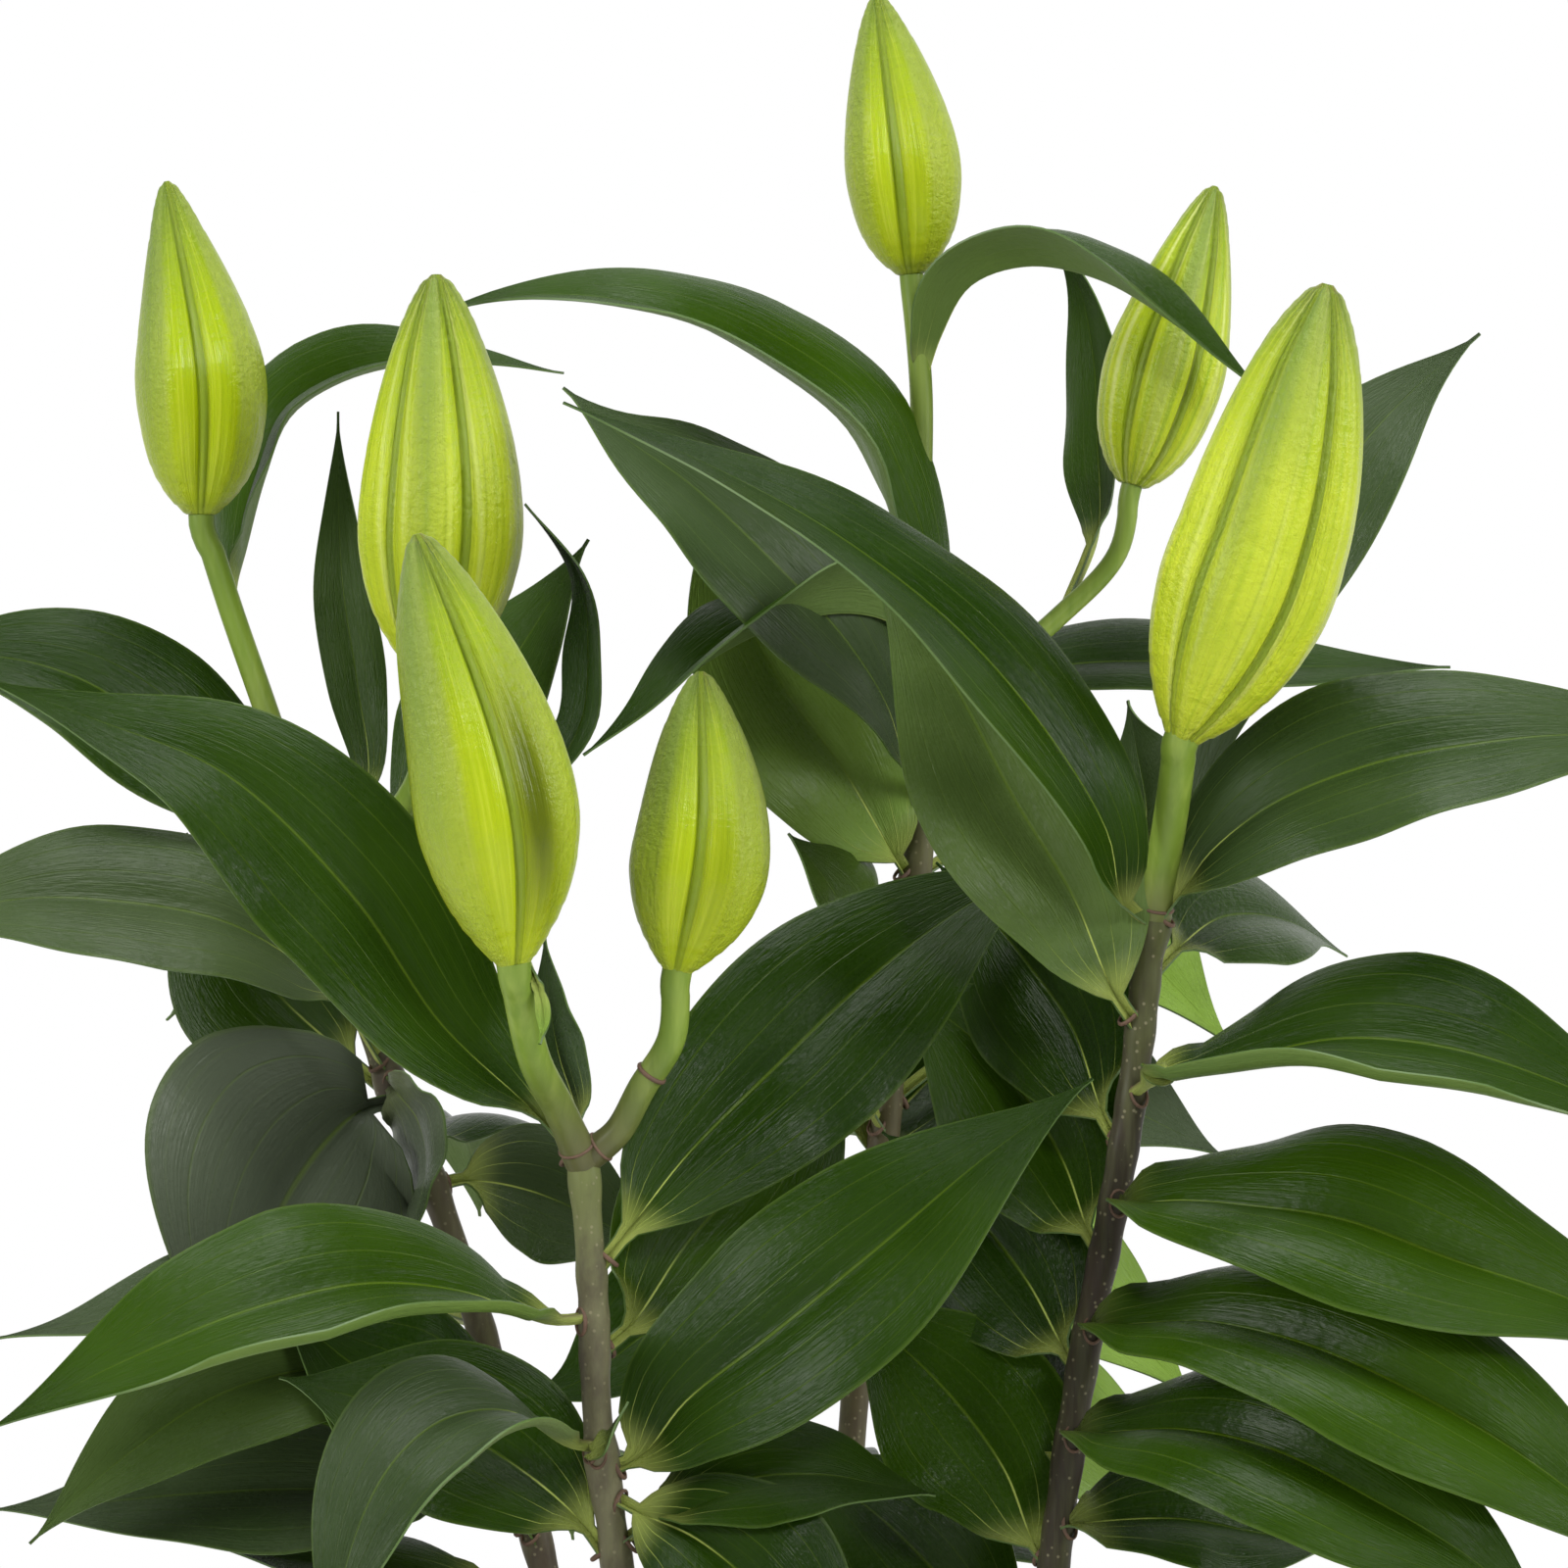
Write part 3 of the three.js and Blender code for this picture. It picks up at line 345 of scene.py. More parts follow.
LEAVES["back_middle"] = [
    blade(470, 36, (-24, -10, 14), 34, [
        (18, 478, 36), (10, 484, 22), (-1, 485, 12), (-15, 481, 4), (-29, 473, -2), (-40, 464, -6),
        (-51, 456, -8)
    ]),
    blade(429, 50, (70, 68, 60), 10, [
        (12, 436, 44), (2, 453, 38), (-9, 468, 36), (-18, 484, 36), (-23, 498, 38), (-24, 511, 40)
    ], dust_and_sheen=0.4, pale_and_backlit=1.2),
    blade(406, 44, (60, 60, 60), 12, [
        (9, 412, 34), (4, 421, 26), (-2, 431, 22), (-9, 440, 20)
    ], peak=0.5, pale_and_backlit=0.24),
    blade(448, 46, (70, 66, 60), 8, [
        (15, 453, 36), (11, 466, 26), (2, 480, 16), (-12, 495, 8), (-29, 511, 4), (-43, 521, 2),
        (-55, 531, 2)
    ], peak=0.55, dust_and_sheen=0.4),
    blade(472, 46, (44, 28, 26), 18, [
        (20, 480, 42), (16, 496, 38), (9, 512, 32), (2, 524, 26), (-12, 535, 22), (-30, 545, 16),
        (-45, 549, 15), (-58, 550, 19), (-70, 549, 25), (-82, 546, 30)
    ], curl=50),
    blade(464, 34, (20, 32, 25), 8, [
        (30, 469, 58), (46, 474, 66), (66, 475, 72), (88, 474, 76), (106, 474, 78), (126, 474, 78)
    ]),
    blade(342, 36, (50, 50, 50), 12, [
        (-4, 352, 38), (-20, 350, 28), (-38, 338, 20), (-52, 328, 14), (-64, 324, 10)
    ]),
    blade(430, 42, (50, 55, 50), 12, [
        (28, 436, 56), (42, 432, 62), (60, 418, 64), (82, 396, 60)
    ], pale_and_backlit=2.0),
    blade(384, 40, (50, 50, 40), 12, [
        (26, 394, 54), (44, 392, 60), (64, 382, 60), (80, 374, 56)
    ], dust_and_sheen=0.8),
    blade(354, 40, (50, 50, 50), 12, [
        (22, 360, 52), (40, 354, 56), (58, 340, 58), (74, 324, 56)
    ], pale_and_backlit=1.5),
    blade(330, 40, (50, 50, 50), 12, [
        (20, 332, 56), (40, 324, 62), (60, 308, 64), (76, 290, 62)
    ], pale_and_backlit=1.5),
    blade(None, 32, (-12, 8, 24), 34, [
        (18, 529, 46), (19, 533, 45), (22, 542, 44), (28, 552, 40), (40, 556, 36), (55, 553, 32),
        (70, 544, 28), (88, 530, 24)
    ]),
    blade(None, 20, (60, 60, 50), 14, [
        (48, 486, 54), (54, 501, 65), (54, 520, 76), (53, 538, 82), (50, 552, 82), (44, 563, 80)
    ]),
    blade(436, 40, (60, 60, 60), 10, [(23, 444, 52), (32, 456, 58), (42, 470, 62)]),
    blade(366, 44, (65, 65, 65), 10, [(9, 376, 50), (18, 388, 60), (30, 398, 66), (42, 406, 68)]),
    blade(378, 40, (60, 60, 60), 10, [(6, 386, 40), (1, 398, 34), (-4, 408, 30)]),
    low_blade(290, 40, [(22, 296, 60), (36, 298, 80), (48, 288, 98), (58, 270, 110)]),
    low_blade(262, 38, [(20, 266, 46), (46, 266, 50), (74, 254, 54), (98, 236, 56)]),
    low_blade(232, 38, [(-6, 238, 58), (-14, 240, 80), (-20, 228, 98), (-24, 210, 110)]),
    low_blade(205, 34, [(12, 212, 56), (26, 212, 72), (38, 204, 88), (48, 192, 102)]),
    rear_blade(415, 40, [(24, 421, 66), (30, 425, 88), (37, 419, 110), (44, 405, 128)]),
    rear_blade(370, 38, [(8, 377, 66), (2, 382, 88), (-6, 378, 108), (-16, 366, 126)]),
    rear_blade(335, 40, [(12, 341, 68), (20, 345, 90), (30, 339, 112), (40, 325, 130)]),
    rear_blade(302, 38, [(2, 306, 66), (-6, 308, 88), (-16, 301, 110), (-28, 286, 126)]),
]
LEAVES["back_left"] = [
    blade(418, 40, (50, 55, 50), 12, [
        (-113, 440, 62), (-135, 459, 60), (-155, 472, 58), (-176, 476, 56), (-196, 469, 54)
    ]),
    blade(390, 44, (40, 47, 42), 10, [
        (-103, 408, 50), (-122, 421, 44), (-146, 426, 40), (-170, 426, 36), (-196, 417, 34)
    ], dust_and_sheen=0.5, pale_and_backlit=0.12),
    blade(386, 44, (70, 70, 70), 10, [
        (-100, 395, 66), (-114, 408, 76), (-125, 424, 84), (-132, 440, 88)
    ]),
    blade(386, 80, (78, 74, 70), 4, [
        (-97, 383, 50), (-106, 374, 42), (-114, 361, 34), (-120, 346, 28), (-124, 328, 24)
    ], peak=0.35, dust_and_sheen=1.8, foot=0),
    blade(390, 34, (85, 85, 85), 4, [
        (-89, 387, 50), (-85, 382, 48), (-83, 374, 46), (-84, 366, 44), (-87, 356, 42)
    ], peak=0.4, dust_and_sheen=1.0, foot=0.2),
    blade(368, 36, (60, 60, 60), 10, [
        (-74, 369, 62), (-62, 367, 66), (-48, 361, 70), (-36, 354, 72)
    ], dust_and_sheen=0.5, pale_and_backlit=0.06),
    blade(348, 30, (20, 25, 25), 14, [
        (-90, 350, 40), (-110, 348, 24), (-132, 345, 12), (-152, 340, 6), (-171, 337, 2)
    ], dust_and_sheen=0.6),
    blade(326, 34, (30, 50, 55), 14, [
        (-84, 331, 40), (-104, 331, 28), (-126, 325, 16), (-148, 310, 6), (-164, 295, 0)
    ], dust_and_sheen=0.3, pale_and_backlit=0.24),
    blade(298, 36, (40, 48, 40), 8, [
        (-82, 305, 40), (-108, 306, 30), (-132, 305, 24), (-154, 303, 20), (-172, 302, 18)
    ], dust_and_sheen=0.6),
    blade(280, 28, (20, 25, 20), 12, [
        (-74, 287, 44), (-94, 290, 38), (-112, 292, 34), (-130, 296, 32)
    ], pale_and_backlit=0.06),
    blade(429, 14.5, (0, 0, 0), 10, [
        (-95, 450, 66), (-97, 470, 70), (-100, 490, 73), (-101, 510, 75), (-101, 526, 76)
    ], dust_and_sheen=0.2, pale_and_backlit=0.06),
    blade(424, 38, (60, 60, 60), 12, [
        (-86, 440, 52), (-74, 462, 50), (-61, 482, 50), (-50, 500, 50)
    ], dust_and_sheen=0.1),
    blade(None, 15, (40, 50, 30), 20, [
        (-84, 456, 30), (-78, 451, 27), (-64, 447, 24), (-52, 461, 20), (-50, 478, 20),
        (-52, 493, 22), (-63, 507, 26)
    ]),
    blade(294, 46, (70, 70, 70), 10, [
        (-70, 310, 36), (-84, 322, 28), (-100, 333, 22), (-114, 345, 18)
    ]),
    blade(310, 36, (60, 60, 60), 10, [
        (-82, 318, 62), (-104, 324, 68), (-122, 329, 70), (-136, 332, 70)
    ]),
    blade(None, 36, (10, 24, 18), 26, [
        (-122, 486, 62), (-122, 490, 65), (-120, 498, 76), (-116, 513, 84), (-111, 525, 86),
        (-101, 532, 84), (-86, 536, 80), (-70, 536, 74), (-55, 534, 68)
    ]),
    low_blade(262, 38, [(-66, 268, 54), (-92, 268, 60), (-118, 258, 64), (-140, 242, 66)]),
    low_blade(238, 38, [(-48, 244, 60), (-46, 246, 84), (-50, 234, 104), (-54, 214, 116)]),
    low_blade(212, 36, [(-52, 218, 38), (-76, 218, 34), (-100, 208, 30), (-122, 194, 28)]),
    low_blade(190, 32, [(-38, 196, 54), (-50, 198, 72), (-62, 192, 88), (-74, 182, 102)]),
    rear_blade(405, 38, [(-106, 412, 80), (-113, 418, 100), (-123, 414, 119), (-136, 402, 134)]),
    rear_blade(370, 36, [(-84, 377, 80), (-78, 382, 102), (-74, 376, 122), (-72, 362, 138)]),
    rear_blade(338, 38, [(-84, 343, 76), (-96, 347, 98), (-110, 341, 117), (-126, 327, 131)]),
    rear_blade(306, 36, [(-65, 311, 72), (-59, 315, 94), (-55, 309, 114), (-53, 296, 130)]),
]


def clamp(value, low, high):
    return min(high, max(low, value))


def view_scale(depth):
    """How much wider the view is at a depth than in the front plane."""
    return (EYE_DISTANCE + depth) / (EYE_DISTANCE + FRONT_PLANE)


def place(point):
    """A laid out point, carried back to its depth along the line of sight."""
    across, up, depth = point
    k = view_scale(depth)
    return Vector((EYE_X + (across - EYE_X) * k, depth, EYE_Z + (up - EYE_Z) * k))


def smooth_line(points, count):
    """An even run of points along the smooth curve through the given ones."""
    ends = [2 * points[0] - points[1], 2 * points[-1] - points[-2]]
    knots = [ends[0], *points, ends[1]]
    steps = [math.sqrt((b - a).length) for a, b in zip(knots, knots[1:])]
    dense = []
    for i in range(1, len(knots) - 2):
        p0, p1, p2, p3 = knots[i - 1:i + 3]
        d0, d1, d2 = steps[i - 1:i + 2]
        start = ((p1 - p0) / d0 - (p2 - p0) / (d0 + d1) + (p2 - p1) / d1) * d1
        end = ((p2 - p1) / d1 - (p3 - p1) / (d1 + d2) + (p3 - p2) / d2) * d1
        for j in range(24):
            t = j / 24
            dense.append(
                p1 * (2 * t ** 3 - 3 * t ** 2 + 1) + start * (t ** 3 - 2 * t ** 2 + t)
                + p2 * (3 * t ** 2 - 2 * t ** 3) + end * (t ** 3 - t ** 2)
            )
    dense.append(points[-1])
    lengths = [0]
    for a, b in zip(dense, dense[1:]):
        lengths.append(lengths[-1] + (b - a).length)
    out = []
    k = 0
    for i in range(count):
        want = lengths[-1] * i / (count - 1)
        while k < len(lengths) - 2 and lengths[k + 1] < want:
            k += 1
        share = (want - lengths[k]) / (lengths[k + 1] - lengths[k])
        out.append(dense[k].lerp(dense[k + 1], clamp(share, 0, 1)))
    return out


def tangents(line):
    out = []
    for i in range(len(line)):
        a = line[max(i - 1, 0)]
        b = line[min(i + 1, len(line) - 1)]
        out.append((b - a).normalized())
    return out


def seen_height(point):
    """A point's height as it is seen in the front plane."""
    return EYE_Z + (point.z - EYE_Z) / view_scale(point.y)


# Materials

class Skin:
    """A material in the making. Each call adds a node and returns its output; what goes into a
    node is a number, a colour or the output of another node."""

    def __init__(self, owner, end):
        self.owner = owner
        self.tree = owner.node_tree
        self.end = self.tree.nodes[end]
        self.colour = None

    def put(self, socket, value):
        if isinstance(value, bpy.types.NodeSocket):
            self.tree.links.new(value, socket)
        elif socket.type == "RGBA":
            socket.default_value = (*value, 1)
        else:
            socket.default_value = value

    def give(self, name, value):
        """Sets one of the finished surface's own values."""
        self.put(self.end.inputs[name], value)

    def ramp(self, value, stops):
        node = self.tree.nodes.new("ShaderNodeValToRGB")
        elements = node.color_ramp.elements
        while len(elements) < len(stops):
            elements.new(0.5)
        for element, (position, colour) in zip(elements, stops):
            element.position = position
            element.color = (*colour, 1)
        self.put(node.inputs[0], value)
        return node.outputs[0]

    def noise(self, vector, scale, detail=4, roughness=0.55, stretch=None):
        node = self.tree.nodes.new("ShaderNodeTexNoise")
        for name, value in (("Scale", scale), ("Detail", detail), ("Roughness", roughness)):
            node.inputs[name].default_value = value
        if stretch is not None:
            mapping = self.tree.nodes.new("ShaderNodeMapping")
            mapping.inputs["Scale"].default_value = stretch
            self.put(mapping.inputs["Vector"], vector)
            vector = mapping.outputs["Vector"]
        self.put(node.inputs["Vector"], vector)
        return node.outputs["Fac"]

    def dots(self, vector, scale):
        node = self.tree.nodes.new("ShaderNodeTexVoronoi")
        node.inputs["Scale"].default_value = scale
        self.put(node.inputs["Vector"], vector)
        return node.outputs["Distance"]

    def mix(self, share, a, b):
        node = self.tree.nodes.new("ShaderNodeMix")
        node.data_type = "RGBA"
        for socket, value in ((node.inputs[0], share), (node.inputs[6], a), (node.inputs[7], b)):
            self.put(socket, value)
        return node.outputs[2]

    def maths(self, operation, *values, limit=False):
        node = self.tree.nodes.new("ShaderNodeMath")
        node.operation = operation
        node.use_clamp = limit
        for socket, value in zip(node.inputs, values):
            self.put(socket, value)
        return node.outputs[0]

    def over(self, share, colour):
        """Lays a colour over what the skin has so far, by a share from 0 to 1."""
        self.colour = self.mix(share, self.colour, colour)

    def times(self, a, b):
        return self.maths("MULTIPLY", a, b)

    def span(self, value, low, high, to_low=0.0, to_high=1.0, smooth=False):
        """Carries low to high over to to_low to to_high."""
        node = self.tree.nodes.new("ShaderNodeMapRange")
        if smooth:
            node.interpolation_type = "SMOOTHSTEP"
        for socket, number in zip(node.inputs, (value, low, high, to_low, to_high)):
            self.put(socket, number)
        return node.outputs[0]

    def bump(self, height, distance, strength=1.0, normal=None):
        node = self.tree.nodes.new("ShaderNodeBump")
        node.inputs["Distance"].default_value = distance
        node.inputs["Strength"].default_value = strength
        self.put(node.inputs["Height"], height)
        if normal is not None:
            self.put(node.inputs["Normal"], normal)
        return node.outputs["Normal"]

    def layer(self, name):
        node = self.tree.nodes.new("ShaderNodeAttribute")
        node.attribute_name = name
        return node.outputs["Fac"]

    def coordinates(self, kind):
        return self.tree.nodes.new("ShaderNodeTexCoord").outputs[kind]

    def split(self, vector):
        node = self.tree.nodes.new("ShaderNodeSeparateXYZ")
        self.put(node.inputs[0], vector)
        return node.outputs

    def finish(self, roughness, normal=None, shine=0.5):
        """Gives the surface its colour, roughness, relief and shine."""
        self.give("Base Color", self.colour)
        self.give("Roughness", roughness)
        self.give("Specular IOR Level", shine)
        if normal is not None:
            self.give("Normal", normal)
        return self.owner


def new_skin(name):
    material = bpy.data.materials.new(name)
    material.use_nodes = True
    return Skin(material, "Principled BSDF")


def leaf_veins(skin):
    """Parallel veins that run together at foot and tip: 0 between them and most on the midrib.
    Also the share of the way to the edge and to the tip."""
    across, along, _ = skin.split(skin.coordinates("UV"))
    half = skin.maths("ABSOLUTE", skin.maths("SUBTRACT", across, 0.5))
    half = skin.times(half, 2.0)
    off, faint, clear = (0, 0, 0), (0.12,) * 3, (0.45,) * 3
    stops = [(0, (0.75,) * 3), (0.01, (0.65,) * 3), (0.025, off)]
    for at, strength in ((0.18, faint), (0.35, clear), (0.52, faint), (0.69, clear), (0.86, faint)):
        stops += [(at - 0.011, off), (at, strength), (at + 0.011, off)]
    return skin.ramp(half, stops), half, along


def leaf_foot(skin, half, veins, brown):
    """The stalk is cream green, browned along its edges, and runs out a little way up the blade,
    where the veins stay pale for longer than the skin between them."""
    browned = skin.times(skin.span(half, 0.7, 1.0), brown)
    foot = skin.mix(browned, (0.33, 0.39, 0.09), (0.07, 0.04, 0.03))
    reach = skin.maths("SUBTRACT", skin.layer("past_stalk"), skin.times(veins, 22.0))
    share = skin.span(reach, -3, 10, 1.0, 0.0, smooth=True)
    skin.over(skin.times(share, skin.layer("foot")), foot)


def leaf_material(name, deep, fresh, vein, edge, dust_and_sheen_grey, rough, shine, brown):
    """A leaf face: two greens in slow patches, parallel veins, fine streaks between them, a pale
    foot, and a thin pale margin."""
    skin = new_skin(name)
    veins, half, along = leaf_veins(skin)
    uv = skin.coordinates("UV")
    place_in_plant = skin.coordinates("Object")
    patches = skin.noise(place_in_plant, 22, 3)
    streaks = skin.noise(uv, 6, 3, 0.6, (14, 0.7, 1))
    greens = skin.span(skin.maths("ADD", patches, skin.layer("tone")), 0.62, 1.25)
    skin.colour = skin.mix(greens, deep, fresh)
    skin.over(skin.span(streaks, 0.42, 0.75, 0.0, 0.22), fresh)
    # Some leaves are greyed, partly by dust and partly by painted sheen, and some are paler, partly their own
    # paler green and partly painted backlight, both in soft patches
    dust_and_sheen_patches = skin.span(patches, 0.3, 0.62, 0.45, 1.0)
    skin.over(skin.times(skin.layer("dust_and_sheen"), dust_and_sheen_patches), dust_and_sheen_grey)
    skin.over(skin.times(skin.layer("pale_and_backlit"), patches), PALE_BACKLIT_GREEN)
    # Veins stand out most at the foot and fade towards the tip
    fade = skin.ramp(along, [(0, (1,) * 3), (0.2, (0.85,) * 3), (0.8, (0.4,) * 3), (1, (0.1,) * 3)])
    skin.over(skin.times(skin.times(veins, fade), 0.75), vein)
    skin.over(skin.times(skin.span(half, 0.955, 0.99), 0.35), edge)
    leaf_foot(skin, half, veins, brown)
    grain = skin.noise(place_in_plant, 900, 2)
    gloss = skin.span(patches, 0.3, 0.7, rough - 0.05, rough + 0.07)
    gloss = skin.maths("ADD", gloss, skin.span(grain, 0.3, 0.7, -0.03, 0.05))
    normal = skin.bump(skin.times(veins, -1.0), 0.00025, 0.7)
    normal = skin.bump(skin.noise(uv, 7, 2, 0.5, (5, 6, 1)), 0.0006, 0.35, normal)
    normal = skin.bump(streaks, 0.0003, 0.6, normal)
    normal = skin.bump(grain, 0.00004, 0.6, normal)
    return skin.finish(gloss, normal, shine)


def leaf_edge_material():
    skin = new_skin("leaf_edge")
    tint = skin.noise(skin.coordinates("Object"), 60)
    skin.colour = skin.mix(tint, (0.03, 0.075, 0.008), (0.09, 0.15, 0.03))
    return skin.finish(0.5)


def bud_body(skin, rise, paler, lines):
    """Lime green, paler at the foot and greyer at the tip, with fine lengthwise lines and pleats
    that have painted shade in their furrows and painted highlights on their crests.
    """
    body = skin.ramp(rise, [
        (0, (0.33, 0.40, 0.04)), (0.06, (0.36, 0.44, 0.012)), (0.2, (0.31, 0.39, 0.001)),
        (0.55, (0.265, 0.35, 0.001)), (0.8, (0.18, 0.26, 0.003)), (0.93, (0.10, 0.155, 0.012)),
        (0.985, (0.06, 0.09, 0.015)), (1, (0.10, 0.06, 0.02)),
    ])
    mottle = skin.noise(skin.coordinates("Object"), 70, 4)
    fold = skin.layer("fold")
    skin.colour = skin.mix(paler, body, (0.52, 0.58, 0.04))
    skin.over(skin.span(lines, 0.5, 0.72, 0, 0.45), (0.48, 0.53, 0.04))
    skin.over(skin.span(lines, 0.46, 0.3, 0, 0.45), (0.19, 0.26, 0.002))
    skin.over(skin.span(mottle, 0.45, 0.75, 0, 0.3), (0.22, 0.32, 0.001))
    # Painted shade in the pleat furrows and painted highlights on the pleat crests
    skin.over(skin.span(fold, 0.5, 0.1, 0, 0.6, smooth=True), (0.19, 0.30, 0.004))
    skin.over(skin.span(fold, 0.55, 0.9, 0, 0.7, smooth=True), (0.50, 0.55, 0.17))


def bud_bands(skin, rise, keel, paler, lines, pebbles):
    """A leathery band along each keel, grey green and finely grained, and a broad line of painted
    shade, a deeper green, on one side of the bud."""
    ragged = skin.span(lines, 0.3, 0.7, 0.6, 1.0)
    band = skin.span(keel, 0.48, 0.64, 0, 0.85, smooth=True)
    band = skin.times(band, skin.span(paler, 0.0, 0.6, 1.0, 0.1))
    band = skin.times(skin.times(band, skin.span(rise, 0.1, 0.6, 0.35, 1.0)), ragged)
    skin.over(band, skin.mix(pebbles, (0.14, 0.19, 0.02), (0.32, 0.39, 0.08)))
    # Painted shade: the broad line of deeper green on one side of the bud
    skin.over(skin.times(skin.layer("green"), ragged), (0.13, 0.20, 0.03))


def bud_seams(skin, rise):
    """The green strip in each seam, painted shade in the crease on one side of it, and painted shade
    in the hollow on the other."""
    seam = skin.layer("seam")
    reach = STRIP_HALF_WIDTH
    strip = skin.span(seam, reach * 0.8, reach * 1.3, 1.0, 0.0, smooth=True)
    skin.over(skin.times(strip, skin.span(rise, 0.0, 0.25, 0.45, 1.0)), (0.17, 0.235, 0.015))
    # Painted shade along the crease on one side of each strip
    away = skin.maths("ABSOLUTE", skin.maths("SUBTRACT", seam, reach * 1.3))
    crease = skin.span(away, 0.05, 0.45, 0.55, 0.0, smooth=True)
    skin.over(skin.times(crease, skin.layer("left")), (0.08, 0.14, 0.004))
    # Painted shade in the hollow on the other side of the strip
    skin.over(skin.times(skin.layer("shade"), 0.75), (0.08, 0.105, 0.001))


def bud_material():
    skin = new_skin("bud_skin")
    rise = skin.layer("rise")
    keel = skin.layer("keel")
    uv = skin.coordinates("UV")
    lines = skin.noise(uv, 5, 3, 0.6, (30, 0.3, 1))
    pebbles = skin.noise(skin.coordinates("Object"), 620, 4, 0.65, (1, 1, 0.7))
    paler = skin.times(skin.layer("pale"), skin.span(rise, 0.55, 0.95, 1.0, 0.1))
    bud_body(skin, rise, paler, lines)
    bud_bands(skin, rise, keel, paler, lines, pebbles)
    bud_seams(skin, rise)
    # Smooth beside the strip, wrinkled towards the tip and pebbled on the band
    rough = skin.span(keel, 0.35, 0.6, 0.15, 1.0)
    rough = skin.maths("MAXIMUM", rough, skin.span(rise, 0.45, 0.9, 0.1, 1.0))
    rough = skin.maths("MAXIMUM", rough, skin.times(paler, 1.8), limit=True)
    wrinkles = skin.noise(uv, 9, 3, 0.6, (7, 6, 1))
    normal = skin.bump(lines, 0.0005, 0.5)
    normal = skin.bump(skin.times(wrinkles, rough), 0.0008, 0.6, normal)
    normal = skin.bump(skin.times(pebbles, rough), 0.0006, 0.8, normal)
    skin.give("Subsurface Weight", 0.1)
    skin.give("Subsurface Radius", (0.5, 0.8, 0.03))
    skin.give("Subsurface Scale", 0.004)
    return skin.finish(skin.span(rough, 0.1, 1.0, 0.17, 0.32), normal, 0.2)


def stalk_material():
    skin = new_skin("flower_stalk_skin")
    where = skin.coordinates("Object")
    ribs = skin.noise(where, 260, 3, 0.6, (1, 1, 0.06))
    patches = skin.noise(where, 45, 3)
    skin.colour = skin.mix(patches, (0.09, 0.15, 0.015), (0.18, 0.27, 0.03))
    skin.over(skin.span(ribs, 0.45, 0.7, 0, 0.45), (0.29, 0.37, 0.07))
    skin.over(skin.layer("browned"), (0.075, 0.055, 0.035))
    return skin.finish(0.42, skin.bump(ribs, 0.0003, 0.5), 0.3)


def stem_material(name, low, middle, high):
    """Stem skin: its colour changes from foot to top, with lengthwise streaks, purple mottling and
    small pale specks."""
    skin = new_skin(name)
    where = skin.coordinates("Object")
    height = skin.layer("height")
    body = skin.ramp(height, [(0, low), (0.45, middle), (0.85, middle), (1, high)])
    streaks = skin.noise(where, 220, 4, 0.6, (1, 1, 0.12))
    mottle = skin.noise(where, 95, 5, 0.65, (1, 1, 0.45))
    pale = skin.mix(0.45, body, (0.24, 0.26, 0.11))
    streaked = skin.span(streaks, 0.42, 0.68, 0, 0.5)
    skin.colour = skin.mix(streaked, body, pale)
    skin.over(skin.span(mottle, 0.47, 0.66, 0, 0.6), (0.045, 0.03, 0.026))
    dots = skin.span(skin.dots(where, 520), 0.12, 0.22, 0.6, 0.0)
    skin.over(dots, (0.24, 0.22, 0.13))
    normal = skin.bump(streaks, 0.0003, 0.5)
    normal = skin.bump(dots, 0.0001, 0.5, normal)
    return skin.finish(skin.span(mottle, 0.3, 0.7, 0.38, 0.55), normal, 0.18)


def scar_material():
    skin = new_skin("leaf_scar")
    tint = skin.noise(skin.coordinates("Object"), 400)
    skin.colour = skin.mix(tint, (0.05, 0.028, 0.018), (0.16, 0.09, 0.05))
    return skin.finish(0.7)


def pot_material():
    """Moulded terracotta-coloured plastic, a little scuffed, with faint lime round its foot."""
    skin = new_skin("pot_plastic")
    where = skin.coordinates("Object")
    broad = skin.noise(where, 14, 5, 0.6)
    fine = skin.noise(where, 420, 3)
    skin.colour = skin.mix(broad, (0.36, 0.125, 0.058), (0.47, 0.18, 0.09))
    skin.over(skin.span(fine, 0.5, 0.75, 0, 0.25), (0.56, 0.27, 0.16))
    foot = skin.span(skin.split(where)[2], 0.0, 0.03, 0.5, 0.0, smooth=True)
    lime = skin.times(foot, skin.span(broad, 0.45, 0.65))
    skin.over(lime, (0.55, 0.42, 0.33))
    scuffs = skin.noise(where, 30, 6, 0.75, (1, 1, 7))
    scuffed = skin.span(scuffs, 0.6, 0.72, 0, 0.3)
    skin.over(scuffed, (0.30, 0.10, 0.05))
    return skin.finish(skin.span(broad, 0.3, 0.7, 0.42, 0.6), skin.bump(fine, 0.0001, 0.5))


def soil_material(name, dark, light, scale):
    skin = new_skin(name)
    where = skin.coordinates("Object")
    crumbs = skin.noise(where, scale, 6, 0.7)
    skin.colour = skin.mix(skin.span(crumbs, 0.35, 0.7), dark, light)
    tone = skin.layer("tone")
    skin.over(skin.times(tone, 0.6), (0.13, 0.075, 0.04))
    return skin.finish(0.92, skin.bump(crumbs, 0.0012, 0.8))


# Modelling helpers

def only(piece):
    bpy.ops.object.select_all(action="DESELECT")
    piece.select_set(True)
    bpy.context.view_layer.objects.active = piece


def join(pieces, name):
    bpy.ops.object.select_all(action="DESELECT")
    for piece in pieces:
        piece.select_set(True)
    bpy.context.view_layer.objects.active = pieces[0]
    if len(pieces) > 1:
        bpy.ops.object.join()
    whole = bpy.context.view_layer.objects.active
    whole.name = name
    whole.data.name = name
    return whole


